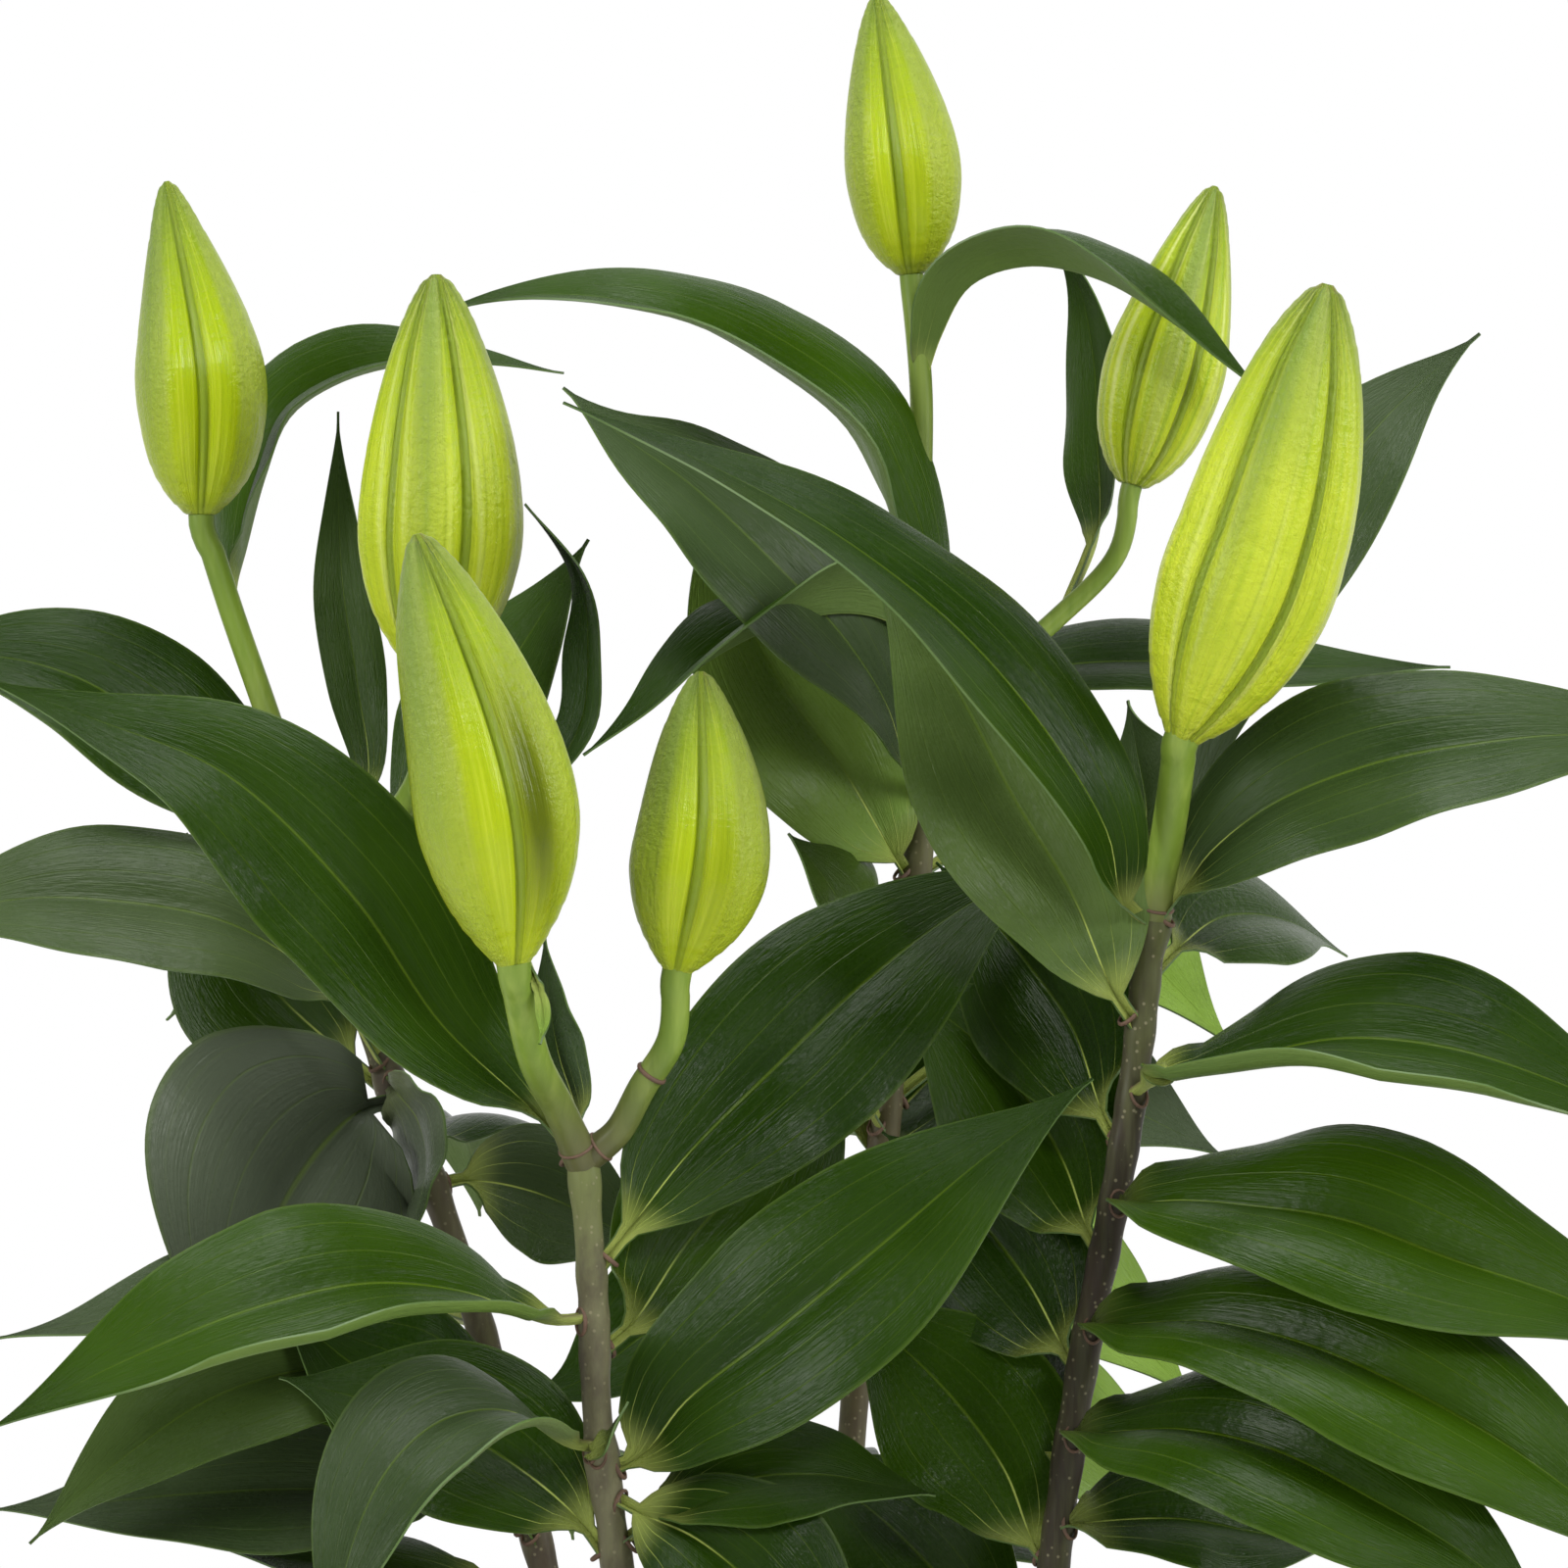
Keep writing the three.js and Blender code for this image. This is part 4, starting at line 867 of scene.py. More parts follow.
def apply_modifier(piece, kind, **settings):
    only(piece)
    modifier = piece.modifiers.new(kind.lower(), kind)
    for key, value in settings.items():
        setattr(modifier, key, value)
    bpy.ops.object.modifier_apply(modifier=modifier.name)


def smooth(piece, angle=50):
    only(piece)
    bpy.ops.object.shade_smooth_by_angle(angle=math.radians(angle))


def set_materials(piece, *materials):
    piece.data.materials.clear()
    for material in materials:
        piece.data.materials.append(material)


def write_attribute(piece, name, values):
    """Values: one for each vertex, or one number for all."""
    if not isinstance(values, list):
        values = [values] * len(piece.data.vertices)
    layer = piece.data.attributes.new(name, "FLOAT", "POINT")
    layer.data.foreach_set("value", values)


def finish_piece(piece, replaces=None):
    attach(piece, "root")
    if replaces is not None:
        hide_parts(replaces)


def copy_piece(template, name):
    piece = bpy.data.objects.new(name, template.data.copy())
    bpy.context.collection.objects.link(piece)
    return piece


def sheet(columns, rows):
    """A flat grid, one unit wide and long, to be laid round or along a line."""
    bpy.ops.object.select_all(action="DESELECT")
    bpy.ops.mesh.primitive_grid_add(x_subdivisions=columns, y_subdivisions=rows, size=1)
    return bpy.context.active_object


def close_up(piece, gap):
    """Welds a rolled sheet along its seam, fills both ends and turns its faces outwards."""
    only(piece)
    bpy.ops.object.mode_set(mode="EDIT")
    bpy.ops.mesh.select_all(action="SELECT")
    bpy.ops.mesh.remove_doubles(threshold=gap * MM)
    bpy.ops.mesh.select_all(action="DESELECT")
    bpy.ops.mesh.select_non_manifold()
    bpy.ops.mesh.fill_holes(sides=0)
    bpy.ops.mesh.select_all(action="SELECT")
    bpy.ops.mesh.normals_make_consistent(inside=False)
    bpy.ops.object.mode_set(mode="OBJECT")


def rounded_bar(name, line, radii, sides):
    """A round bar along a line: a sheet that is rolled up ring by ring."""
    rings = len(line)
    bar = sheet(sides, rings - 1)
    bar.name = name
    along = tangents(line)
    across = [Vector((1, 0, 0))]
    for tangent in along:
        side = across[-1] - tangent * across[-1].dot(tangent)
        across.append(side.normalized())
    for vertex in bar.data.vertices:
        i = round((vertex.co.y + 0.5) * (rings - 1))
        angle = -2 * math.pi * (vertex.co.x + 0.5)
        other = along[i].cross(across[i + 1])
        out = across[i + 1] * math.cos(angle) + other * math.sin(angle)
        vertex.co = (line[i] + out * radii[i]) * MM
    close_up(bar, 0.01)
    return bar


# Leaves

def half_width(t, leaf, share):
    s = clamp((t - share) / (1 - share), 0, 1)
    power = math.log(0.5) / math.log(leaf["peak"])
    sharpness = 0.85 - 0.42 * leaf["blunt"] * (1 - s)
    outline = math.sin(math.pi * s ** power) ** (sharpness + 0.62 * s) if 0 < s < 1 else 0
    stalk = LEAF_STALK_HALF_WIDTH * (1 - clamp((t - share) / 0.2, 0, 1))
    return max(outline * leaf["width"] / 2, stalk, TIP_HALF_WIDTH)


def turned_face(t, face):
    foot, middle, tip = face
    if t < 0.5:
        return foot + (middle - foot) * 2 * t
    return middle + (tip - middle) * (2 * t - 1)


def half_section(t, leaf, near, share, pieces):
    """One half of a leaf's cross-section as shares of its half width: (out, up) from the midrib
    to the edge. It rises from the midrib, bows and levels off, and a near edge may roll in. The
    stalk is a trough."""
    points = [(0.0, 0.0)]
    trough = 42 * (1 - clamp((t - share) / 0.08, 0, 1))
    for j in range(pieces):
        u = (j + 0.5) / pieces
        bend = leaf["fold"] * (1 - 0.4 * t) + trough
        bend += leaf["arch"] * (1 - 2 * u) * math.sin(math.pi * clamp(t * 1.15, 0, 1)) ** 0.7
        if near:
            bend += leaf["curl"] * clamp(2 * u - 1, 0, 1) ** 1.5 * min(1, 3 * (1 - t))
        out, up = points[-1]
        step = 1 / pieces
        points.append((out + math.cos(math.radians(bend)) * step, up + math.sin(math.radians(bend)) * step))
    return points


def leaf_rows(leaf, line, heading, share, draw):
    """The leaf's cross-sections from foot to tip, each a row of points from edge to edge."""
    along = tangents(line)
    sign = 1 if heading.x >= 0 else -1
    level = heading.cross(Vector((0, 0, 1)))
    middle = LEAF_COLUMNS // 2
    phases = [draw.uniform(0, 2 * math.pi) for _ in range(4)]
    beats = draw.uniform(1.3, 2.0)
    rows = []
    for i in range(LEAF_ROWS + 1):
        t = i / LEAF_ROWS
        side = (level - along[i] * level.dot(along[i])).normalized()
        turn = math.radians(turned_face(t, leaf["face"])) * sign
        side.rotate(Matrix.Rotation(turn, 3, along[i]))
        normal = side.cross(along[i])
        half = half_width(t, leaf, share)
        row = [None] * (LEAF_COLUMNS + 1)
        for way in (-1, 1):
            slow, quick = phases[::2] if way > 0 else phases[1::2]
            ripple = math.sin(2 * math.pi * beats * t + slow)
            ripple += 0.45 * math.sin(2 * math.pi * beats * 2.3 * t + quick)
            for j, (out, up) in enumerate(half_section(t, leaf, way == sign, share, middle)):
                lift = leaf["wave"] * ripple * (j / middle) ** 2 * half / (leaf["width"] / 2)
                row[middle + way * j] = line[i] + side * (way * out * half) + normal * (up * half + lift)
        rows.append(row)
    return rows


def shape_leaf(template, leaf, stem_line, draw):
    """Copies the flat blade and lays it along the leaf's own midrib."""
    piece = copy_piece(template, "leaf")
    points = [place(p) for p in leaf["line"]]
    if leaf["at"] is not None:
        root = min(stem_line, key=lambda p: abs(seen_height(p) - leaf["at"]))
        points.insert(0, root)
    line = smooth_line(points, LEAF_ROWS + 1)
    length = sum((b - a).length for a, b in zip(line, line[1:]))
    share = 0.8 * (points[1] - points[0]).length / length
    heading = (points[-1] - points[0]) * Vector((1, 1, 0))
    heading.normalize()
    rows = leaf_rows(leaf, line, heading, share, draw)
    past_stalk = []
    for vertex in piece.data.vertices:
        column = round((vertex.co.x + 0.5) * LEAF_COLUMNS)
        i = round((vertex.co.y + 0.5) * LEAF_ROWS)
        vertex.co = rows[i][column] * MM
        past_stalk.append((i / LEAF_ROWS - share) * length)
    write_attribute(piece, "tone", draw.uniform(0.15, 0.6))
    write_attribute(piece, "past_stalk", past_stalk)
    for key in ("dust_and_sheen", "pale_and_backlit", "foot"):
        write_attribute(piece, key, leaf[key])
    return piece


def make_foliage(template, name, stem_line, materials, draw):
    leaves = [shape_leaf(template, leaf, stem_line, draw) for leaf in LEAVES[name]]
    foliage = join(leaves, "leaves_" + name)
    set_materials(foliage, *materials)
    apply_modifier(
        foliage, "SOLIDIFY", thickness=LEAF_THICKNESS * MM, offset=-1,
        material_offset=1, material_offset_rim=2,
    )
    smooth(foliage, 60)
    finish_piece(foliage, "stem_" + name)


# Stems

def stem_path(name):
    return smooth_line([place(p) for p in STEMS[name]], STEM_STEPS)


def stem_radius(t):
    return STEM_FOOT_RADIUS + (STEM_TOP_RADIUS - STEM_FOOT_RADIUS) * t


def leaf_roots(name, path):
    """Where each leaf of a stem leaves it: (share of the path, point, direction)."""
    roots = []
    for leaf in LEAVES[name]:
        if leaf["at"] is None:
            continue
        i = min(range(len(path)), key=lambda k: abs(seen_height(path[k]) - leaf["at"]))
        first = smooth_line([path[i], *[place(p) for p in leaf["line"]]], 40)
        roots.append((i / (len(path) - 1), path[i], (first[3] - first[0]).normalized()))
    return roots


def make_stem(name, path, skin, scar):
    roots = leaf_roots(name, path)
    foot = path[0]
    sunk = [Vector((foot.x, foot.y, SOIL_TOP - STEM_DEPTH + i * 2)) for i in range(12)]
    line = [p for p in sunk if p.z < foot.z - 1] + path
    radii = []
    for i, point in enumerate(line):
        t = clamp((i - len(line) + len(path)) / (len(path) - 1), 0, 1)
        radius = stem_radius(t)
        for share, _, _ in roots:
            radius += NODE_SWELLING * math.exp(-(((t - share) * 70) ** 2))
        radii.append(radius)
    stem = rounded_bar("stem_" + name, line, radii, STEM_SIDES)
    set_materials(stem, skin, scar)
    low = line[0].z
    high = line[-1].z
    write_attribute(stem, "height", [(v.co.z / MM - low) / (high - low) for v in stem.data.vertices])
    collars = [leaf_collar(point, way, stem_radius(share), skin, scar) for share, point, way in roots]
    stem = join([stem, *collars], "stem_skin_" + name)
    smooth(stem, 60)
    finish_piece(stem)


def make_ring(centre, way, radius, thickness, segments, stretch=(1, 1, 1)):
    """A thin ring round a stalk that runs the given way."""
    bpy.ops.object.select_all(action="DESELECT")
    bpy.ops.mesh.primitive_torus_add(
        major_segments=segments, minor_segments=8,
        major_radius=radius * MM, minor_radius=thickness * MM,
    )
    ring = bpy.context.active_object
    turn = way.to_track_quat("Z", "X").to_matrix().to_4x4()
    ring.data.transform(Matrix.Translation(centre * MM) @ turn @ Matrix.Diagonal((*stretch, 1)))
    return ring


def leaf_collar(point, way, radius, skin, scar):
    """The thin brown ring round a leaf's stalk, where it comes out of the stem."""
    sideways = Vector((way.x, way.y, 0)).normalized()
    centre = point + way * (radius / max(0.5, way.dot(sideways)) * 1.02)
    collar = make_ring(centre, way, COLLAR_RADIUS, COLLAR_THICKNESS, 20, COLLAR_STRETCH)
    set_materials(collar, skin, scar)
    for face in collar.data.polygons:
        face.material_index = 1
    write_attribute(collar, "height", 0.5)
    return collar


# Flower stalks and buds

def make_stalk(name, skin, scar):
    stalk = STALKS[name]
    bud = BUDS[name]
    line = smooth_line([place(p) for p in stalk["line"]], STALK_STEPS)
    axis = tangents(smooth_line([place(p) for p in bud["line"]], 30))[0]
    # The last stretch turns into the bud's own direction and ends inside the bud
    line[-1] = line[-1] + axis * STALK_REACH_INTO_BUD
    end = line[-1]
    for turned in range(STALK_TURN_STEPS):
        i = STALK_STEPS - STALK_TURN_STEPS + turned
        straight = end - axis * (line[-1] - line[i]).length
        line[i] = line[i].lerp(straight, (turned + 1) / STALK_TURN_STEPS)
    radii = []
    for i in range(STALK_STEPS):
        t = i / (STALK_STEPS - 1)
        flare = 0.06 * math.exp(-(((1 - t) / 0.07) ** 2)) + 0.14 * math.exp(-((t / 0.12) ** 2))
        radii.append(stalk["radius"] * (1 + flare))
    piece = rounded_bar("stalk_" + name, line, radii, STALK_SIDES)
    rings = [(FOOT_RING_STEP, FOOT_RING_THICKNESS)]
    if stalk["joint"]:
        rings.append((stalk["joint"], JOINT_THICKNESS))
    pieces = [piece]
    for i, thickness in rings:
        way = (line[i + 1] - line[i]).normalized()
        pieces.append(make_ring(line[i], way, radii[i], thickness, 28))
    for i, part in enumerate(pieces):
        set_materials(part, skin, scar)
        for face in part.data.polygons:
            face.material_index = min(i, 1)
    piece = join(pieces, "stalk_" + name)
    start = line[0] * MM
    reach = stalk["browned"] * MM
    values = [0.9 * clamp(1 - (v.co - start).length / reach, 0, 1) for v in piece.data.vertices]
    write_attribute(piece, "browned", values)
    smooth(piece)
    finish_piece(piece)


def bud_angles(seams):
    """Angles round a bud: (angle, degrees to the nearest seam, share of the way to its keel,
    side of the seam)."""
    angles = []
    ordered = sorted(seams)
    for i, seam in enumerate(ordered):
        gap = (ordered[(i + 1) % 3] - seam) % 360
        half = gap / 2
        last = NEAR_SEAM[-1]
        more = round((half - last) / FAR_STEP)
        steps = NEAR_SEAM + [last + (half - last) * (k + 1) / more for k in range(more)]
        angles += [(seam + step, step, step / half, 1) for step in steps]
        angles += [(seam + gap - step, step, step / half, -1) for step in reversed(steps[1:-1])]
    return angles


def bud_relief(bud, angle, off, share, side, radius, rise, width):
    """How far the bud's skin stands off its plain round form, in millimetres: a raised strip in
    the valley of each seam, a hollow on one side of it, a soft ridge beyond the smooth skin beside
    it, three lobes that pucker at the tip, and pleats along the bud."""
    arc = math.radians(off) * radius
    strip = STRIP_HALF_WIDTH * (0.4 + 0.6 * width)
    size = clamp(radius / 12, 0.15, 1)
    hollow = bud["hollow"] if side > 0 else 0.0
    groove = -(0.4 if side > 0 else 0.75) * math.exp(-(((arc - strip * 1.25) / 0.5) ** 2))
    raised = 0.25 * math.exp(-((arc / strip) ** 4))
    valley = -0.75 * math.exp(-((arc / 4.0) ** 2))
    hollow *= -math.exp(-(((arc - 5.5) / 4.0) ** 2)) * math.sin(math.pi * clamp(rise * 1.1, 0, 1)) ** 2
    puckered = clamp((rise - 0.82) / 0.18, 0, 1)
    ridge = radius * 0.04 * math.exp(-(((share - 0.42) / 0.16) ** 2)) * math.sin(math.pi * rise) ** 0.5
    lobes = -math.cos(math.pi * share) * radius * (0.012 + 0.12 * puckered)
    folds = bud_folds(bud, angle, rise)
    pleats = 0.3 * bud["pleats"] * folds * clamp(share * 2.5 - 0.5, 0, 1) * math.sin(math.pi * rise) ** 0.5
    return (groove + raised + valley + hollow + pleats) * size + ridge + lobes


def bud_folds(bud, angle, rise):
    """Height of the lengthwise pleats at an angle round the bud, between about -1 and 1."""
    turn = math.radians(angle)
    drift = 1.2 * math.sin(rise * 4 + bud["radius"])
    return 0.6 * math.sin(turn * 13 + drift) + 0.4 * math.sin(turn * 31 + 2 + 2 * drift)


def bud_layers(bud, angle, off, share, side, radius, rise, width):
    """What the bud's material reads at one point of its skin."""
    # Where the broad line of painted shade, a deeper green, lies round the bud
    turn, spread, strength = bud["green"]
    arc = math.radians(off) * radius
    away = (angle - turn + 180) % 360 - 180
    green = strength * math.exp(-((away / (spread * (1 + rise))) ** 2))
    # Painted shade in the hollow beside the seam, strongest part way up the bud
    hollow = math.exp(-(((arc - 5.0) / 4.6) ** 2)) if side > 0 else 0.0
    depth = math.sin(math.pi * clamp(rise * 1.3, 0, 1)) ** 1.3
    return {
        "rise": rise,
        "seam": arc / (0.5 + 0.5 * width),
        "left": 1.0 if side < 0 else 0.5 if off == 0 else 0.0,
        "keel": share,
        "fold": 0.5 + 0.5 * bud_folds(bud, angle, rise) * bud["pleats"],
        "shade": bud["hollow"] * hollow * depth,
        "green": green * clamp(0.15 + 1.2 * rise, 0, 1),
        "pale": bud["pale"],
    }


def make_bud(name, skin):
    bud = BUDS[name]
    axis = smooth_line([place(p) for p in bud["line"]], BUD_AXIS_STEPS + 1)
    along = tangents(axis)
    # The outline is drawn about as slim as a bud is, so that its points stand evenly along it
    profile = smooth_line([Vector((a, b * BUD_SLIMNESS, 0)) for a, b in BUD_PROFILE], BUD_RINGS + 1)
    angles = bud_angles(bud["seams"])
    piece = sheet(len(angles), BUD_RINGS)
    layers = []
    for vertex in piece.data.vertices:
        i = round((vertex.co.y + 0.5) * BUD_RINGS)
        j = round((vertex.co.x + 0.5) * len(angles)) % len(angles)
        rise = clamp(profile[i].x, 0, 1)
        width = clamp(profile[i].y / BUD_SLIMNESS, 0.02, 1)
        width *= 1 - bud["foot"] * clamp(1 - rise / 0.35, 0, 1) ** 2
        width *= 1 - bud["taper"] * clamp((rise - 0.45) / 0.4, 0, 1)
        radius = bud["radius"] * width
        k = min(BUD_AXIS_STEPS, round(rise * BUD_AXIS_STEPS))
        front = Vector((0, -1, 0))
        front = (front - along[k] * front.dot(along[k])).normalized()
        across = along[k].cross(front)
        turn = math.radians(angles[j][0])
        out = front * math.cos(turn) + across * math.sin(turn)
        relief = bud_relief(bud, *angles[j], radius, rise, width)
        vertex.co = (axis[k] + out * (radius + relief)) * MM
        layers.append(bud_layers(bud, *angles[j], radius, rise, width))
    for key in layers[0]:
        write_attribute(piece, key, [layer[key] for layer in layers])
    close_up(piece, 0.005)
    piece.name = "flower_" + name
    piece.data.name = piece.name
    set_materials(piece, skin)
    smooth(piece, 60)
    finish_piece(piece, name)


# Pot and soil

def wall_radius(z):
    return POT_BASE_RADIUS + (POT_RIM_RADIUS - RIM_BAND_STEP - POT_BASE_RADIUS) * z / POT_HEIGHT


def spun(name, profile, steps=120):
    """A body of revolution: its outline is drawn as one run of edges and spun round the axis."""
    mesh = bpy.data.meshes.new(name)
    points = [(radius * MM, 0, z * MM) for radius, z in profile]
    mesh.from_pydata(points, [(i, i + 1) for i in range(len(points) - 1)], [])
    piece = bpy.data.objects.new(name, mesh)
    bpy.context.collection.objects.link(piece)
    only(piece)
    bpy.ops.object.mode_set(mode="EDIT")
    bpy.ops.mesh.select_all(action="SELECT")
    bpy.ops.mesh.spin(steps=steps, angle=2 * math.pi, center=(0, 0, 0), axis=(0, 0, 1))
    bpy.ops.mesh.select_all(action="SELECT")
    bpy.ops.mesh.remove_doubles(threshold=0.00001)
    bpy.ops.mesh.normals_make_consistent(inside=False)
    bpy.ops.object.mode_set(mode="OBJECT")
    return piece


def arc(radius, z, size, start, end, count=6):
    """Points of a round corner about (radius, z), from one angle to another in degrees."""
    points = []
    for i in range(count):
        angle = math.radians(start + (end - start) * i / (count - 1))
        points.append((radius + size * math.cos(angle), z + size * math.sin(angle)))
    return points


def make_pot():
    band = POT_HEIGHT - RIM_BAND_HEIGHT

    def inner(z):
        return wall_radius(z) - POT_WALL

    profile = [(0, 0), (POT_BASE_RADIUS - 12, 0), (POT_BASE_RADIUS - 11.4, 0.5), (POT_BASE_RADIUS - 7, 0.5)]
    profile += [(POT_BASE_RADIUS - 6.4, 0)]
    profile += arc(POT_BASE_RADIUS - 1.5, 1.7, 1.6, -90, -8)
    for z in (band - 12, band - 7):
        wall = wall_radius(z)
        crest = wall + WALL_RIB
        profile += [(wall, z), (crest, z + 0.5), (crest, z + 1.7), (wall, z + 2.2)]
    profile += [(wall_radius(band) - 0.1, band - 1)]
    profile += arc(wall_radius(band) + 1, band - 1, 1.0, 180, 90, 4)
    profile += arc(POT_RIM_RADIUS - 1.4, band + 1.4, 1.4, -90, 0, 5)
    profile += arc(POT_RIM_RADIUS - 1.8, POT_HEIGHT - 1.8, 1.8, 0, 90, 6)
    profile += arc(inner(POT_HEIGHT) + 1.4, POT_HEIGHT - 1.4, 1.4, 90, 180, 6)
    profile += [(inner(band + 6), band + 6), (inner(band + 5) - 0.5, band + 5), (inner(band) - 0.5, band)]
    profile += [(inner(POT_FLOOR + 2), POT_FLOOR + 2), (inner(POT_FLOOR) - 2, POT_FLOOR), (0, POT_FLOOR)]
    pot = spun("pot_body", profile)
    cutters = []
    for i in range(DRAIN_COUNT):
        angle = 2 * math.pi * (i + 0.5) / DRAIN_COUNT
        bpy.ops.object.select_all(action="DESELECT")
        bpy.ops.mesh.primitive_cylinder_add(
            vertices=40, radius=DRAIN_RADIUS * MM, depth=20 * MM,
            location=(DRAIN_RING_RADIUS * math.cos(angle) * MM, DRAIN_RING_RADIUS * math.sin(angle) * MM, 0),
        )
        cutters.append(bpy.context.active_object)
    cutter = join(cutters, "drain_cutter")
    apply_modifier(pot, "BOOLEAN", object=cutter, operation="DIFFERENCE", solver="EXACT")
    bpy.data.objects.remove(cutter)
    set_materials(pot, pot_material())
    smooth(pot, 28)
    finish_piece(pot, "pot")


def soil_height(x, y):
    """The soil's surface, in millimetres: a low crown with lumps."""
    limit = wall_radius(SOIL_TOP) - POT_WALL
    share = clamp(math.hypot(x, y) / limit, 0, 1)
    lumps = noise.noise(Vector((x * 0.06, y * 0.06, 3))) * 1.1
    lumps += noise.noise(Vector((x * 0.22, y * 0.22, 8))) * 0.8
    return SOIL_TOP + SOIL_CROWN * (1 - share ** 2) * 0.7 - 0.8 + lumps * (1 - share ** 6)


def make_soil(draw, feet):
    low = POT_FLOOR + CLEARANCE

    def side(z):
        return wall_radius(z) - POT_WALL - SIDE_CLEARANCE

    profile = [(0, low), (side(low) - 3, low), (side(low + 3), low + 3), (side(SOIL_TOP - 1), SOIL_TOP - 1.5)]
    profile += [(side(SOIL_TOP) * (1 - i / SOIL_RINGS), SOIL_TOP) for i in range(1, SOIL_RINGS + 1)]
    soil = spun("potting_mix", profile, 140)
    for vertex in soil.data.vertices:
        if vertex.co.z > (SOIL_TOP - 0.5) * MM:
            vertex.co.z = soil_height(vertex.co.x / MM, vertex.co.y / MM) * MM
    write_attribute(soil, "tone", 0.0)
    set_materials(soil, soil_material("potting_mix_crumb", (0.018, 0.011, 0.007), (0.055, 0.034, 0.02), 260))
    smooth(soil, 60)
    finish_piece(soil, "soil")
    make_chips(draw, feet)


def make_chips(draw, feet):
    """Bark chips and crumbs lying on the soil."""
    bpy.ops.object.select_all(action="DESELECT")
    bpy.ops.mesh.primitive_cube_add(size=1)
    template = bpy.context.active_object
    apply_modifier(template, "BEVEL", width=0.16, segments=1)
    chips = []
    limit = wall_radius(SOIL_TOP) - POT_WALL - CHIP_TO_WALL
    while len(chips) < CHIP_COUNT:
        reach = limit * math.sqrt(draw.random())
        angle = draw.uniform(0, 2 * math.pi)
        x = reach * math.cos(angle)
        y = reach * math.sin(angle)
        if any(math.hypot(x - foot.x, y - foot.y) < CHIP_TO_STEM for foot in feet):
            continue
        chip = copy_piece(template, "chip")
        length = draw.uniform(2.2, 8.5)
        size = Vector((length, length * draw.uniform(0.35, 0.8), draw.uniform(0.9, 2.4)))
        for vertex in chip.data.vertices:
            vertex.co += Vector([draw.uniform(-0.09, 0.09) for _ in range(3)])
        tilt = Matrix.Rotation(draw.uniform(-0.35, 0.35), 4, "X")
        tilt @= Matrix.Rotation(draw.uniform(-0.35, 0.35), 4, "Y")
        turn = Matrix.Rotation(draw.uniform(0, 2 * math.pi), 4, "Z")
        centre = Vector((x, y, soil_height(x, y) + size.z * 0.3))
        lay = Matrix.Translation(centre * MM) @ turn @ tilt
        chip.data.transform(lay @ Matrix.Diagonal((*(size * MM), 1)))
        write_attribute(chip, "tone", draw.random())
        chips.append(chip)
    bpy.data.objects.remove(template)
    bark = join(chips, "bark_chips")
    set_materials(bark, soil_material("bark", (0.035, 0.018, 0.010), (0.12, 0.065, 0.035), 420))
    smooth(bark, 30)
    finish_piece(bark)


# The room

def make_floor():
    bpy.ops.object.select_all(action="DESELECT")
    bpy.ops.mesh.primitive_circle_add(vertices=96, radius=1.4, fill_type="NGON", location=(0, 0, -0.0002))
    floor = bpy.context.active_object
    floor.name = "studio_floor"
    paint = new_skin("studio_floor_paint")
    paint.colour = (0.82, 0.82, 0.81)
    set_materials(floor, paint.finish(0.8))


def add_light(name, place_m, size, power):
    data = bpy.data.lights.new(name, "AREA")
    data.shape = "SQUARE"
    data.size = size
    data.energy = power
    light = bpy.data.objects.new(name, data)
    light.location = place_m
    light.rotation_euler = (Vector(PLANT_MIDDLE) - Vector(place_m)).to_track_quat("-Z", "Y").to_euler()
    bpy.context.collection.objects.link(light)


def make_room():
    make_floor()
    world = bpy.data.worlds.new("studio_white")
    world.use_nodes = True
    skin = Skin(world, "Background")
    # White behind the plant, and on its front side a soft grey room that darkens upwards
    _, depth, height = skin.split(skin.coordinates("Generated"))
    behind = skin.span(depth, 0.1, 0.85, 0.0, 1.0, smooth=True)
    front = skin.span(height, -0.1, 0.65, ROOM_GREY, ROOM_GREY_ABOVE, smooth=True)
    skin.give("Strength", skin.maths("MAXIMUM", front, behind))
    skin.give("Color", (1, 1, 1))
    bpy.context.scene.world = world
    bpy.context.scene.view_settings.view_transform = "Standard"
    for name, (place_m, size, power) in SOFTBOXES.items():
        add_light(name, place_m, size, power)


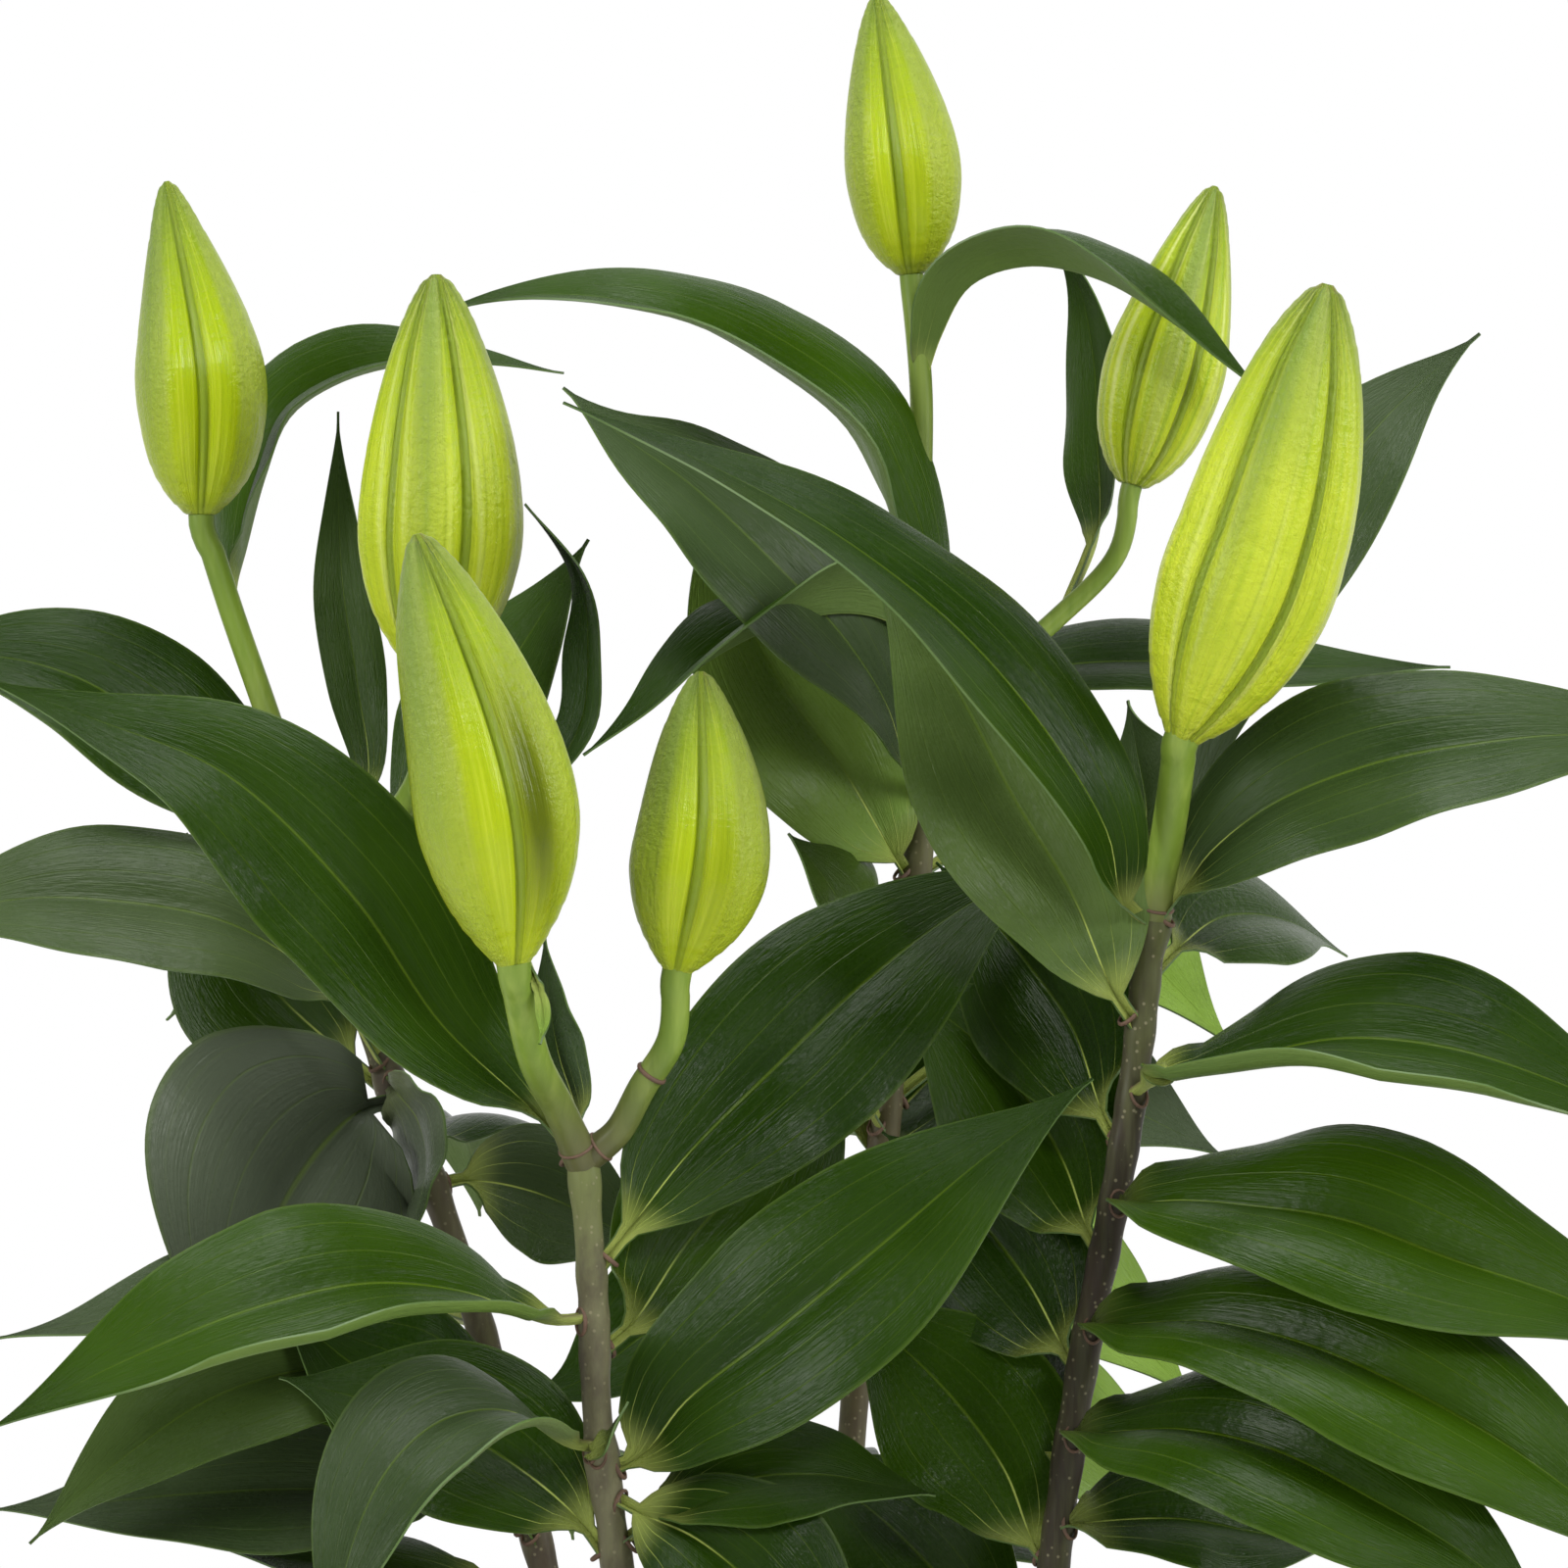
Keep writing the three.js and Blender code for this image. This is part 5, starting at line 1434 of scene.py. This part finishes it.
def make_camera():
    data = bpy.data.cameras.new("photo_camera")
    data.sensor_width = 36
    data.lens = 36 * (EYE_DISTANCE + FRONT_PLANE) / VIEW_WIDTH
    camera = bpy.data.objects.new("photo_camera", data)
    camera.location = Vector((EYE_X, -EYE_DISTANCE, EYE_Z)) * MM
    camera.rotation_euler = (math.radians(90), 0, 0)
    bpy.context.collection.objects.link(camera)
    bpy.context.scene.camera = camera


def make_plant():
    draw = random.Random(4)
    upper = leaf_material(
        "leaf_upper", deep=(0.0085, 0.025, 0.0006), fresh=(0.023, 0.056, 0.0008), vein=(0.12, 0.19, 0.012),
        edge=(0.08, 0.13, 0.02), dust_and_sheen_grey=(0.068, 0.085, 0.053), rough=0.28, shine=0.12, brown=0.3,
    )
    under = leaf_material(
        "leaf_underside", deep=(0.07, 0.12, 0.022), fresh=(0.105, 0.175, 0.025), vein=(0.17, 0.24, 0.05),
        edge=(0.15, 0.22, 0.05), dust_and_sheen_grey=(0.13, 0.15, 0.08), rough=0.55, shine=0.3, brown=0.9,
    )
    edge = leaf_edge_material()
    scar = scar_material()
    skins = {
        "front_left": ((0.17, 0.17, 0.10), (0.14, 0.13, 0.075), (0.12, 0.14, 0.045)),
        "front_right": ((0.016, 0.011, 0.008), (0.03, 0.025, 0.014), (0.055, 0.062, 0.018)),
        "back_middle": ((0.06, 0.045, 0.03), (0.08, 0.065, 0.035), (0.10, 0.12, 0.04)),
        "back_left": ((0.05, 0.035, 0.03), (0.08, 0.065, 0.04), (0.10, 0.12, 0.04)),
    }
    template = sheet(LEAF_COLUMNS, LEAF_ROWS)
    feet = []
    for name in STEMS:
        path = stem_path(name)
        feet.append(path[0])
        make_foliage(template, name, path, (upper, under, edge), draw)
        make_stem(name, path, stem_material("stem_skin_" + name, *skins[name]), scar)
    bpy.data.objects.remove(template)
    stalk_skin = stalk_material()
    bud_skin = bud_material()
    for name in BUDS:
        make_stalk(name, stalk_skin, scar)
        make_bud(name, bud_skin)
    make_soil(draw, feet)
    make_pot()


make_plant()
make_room()
make_camera()
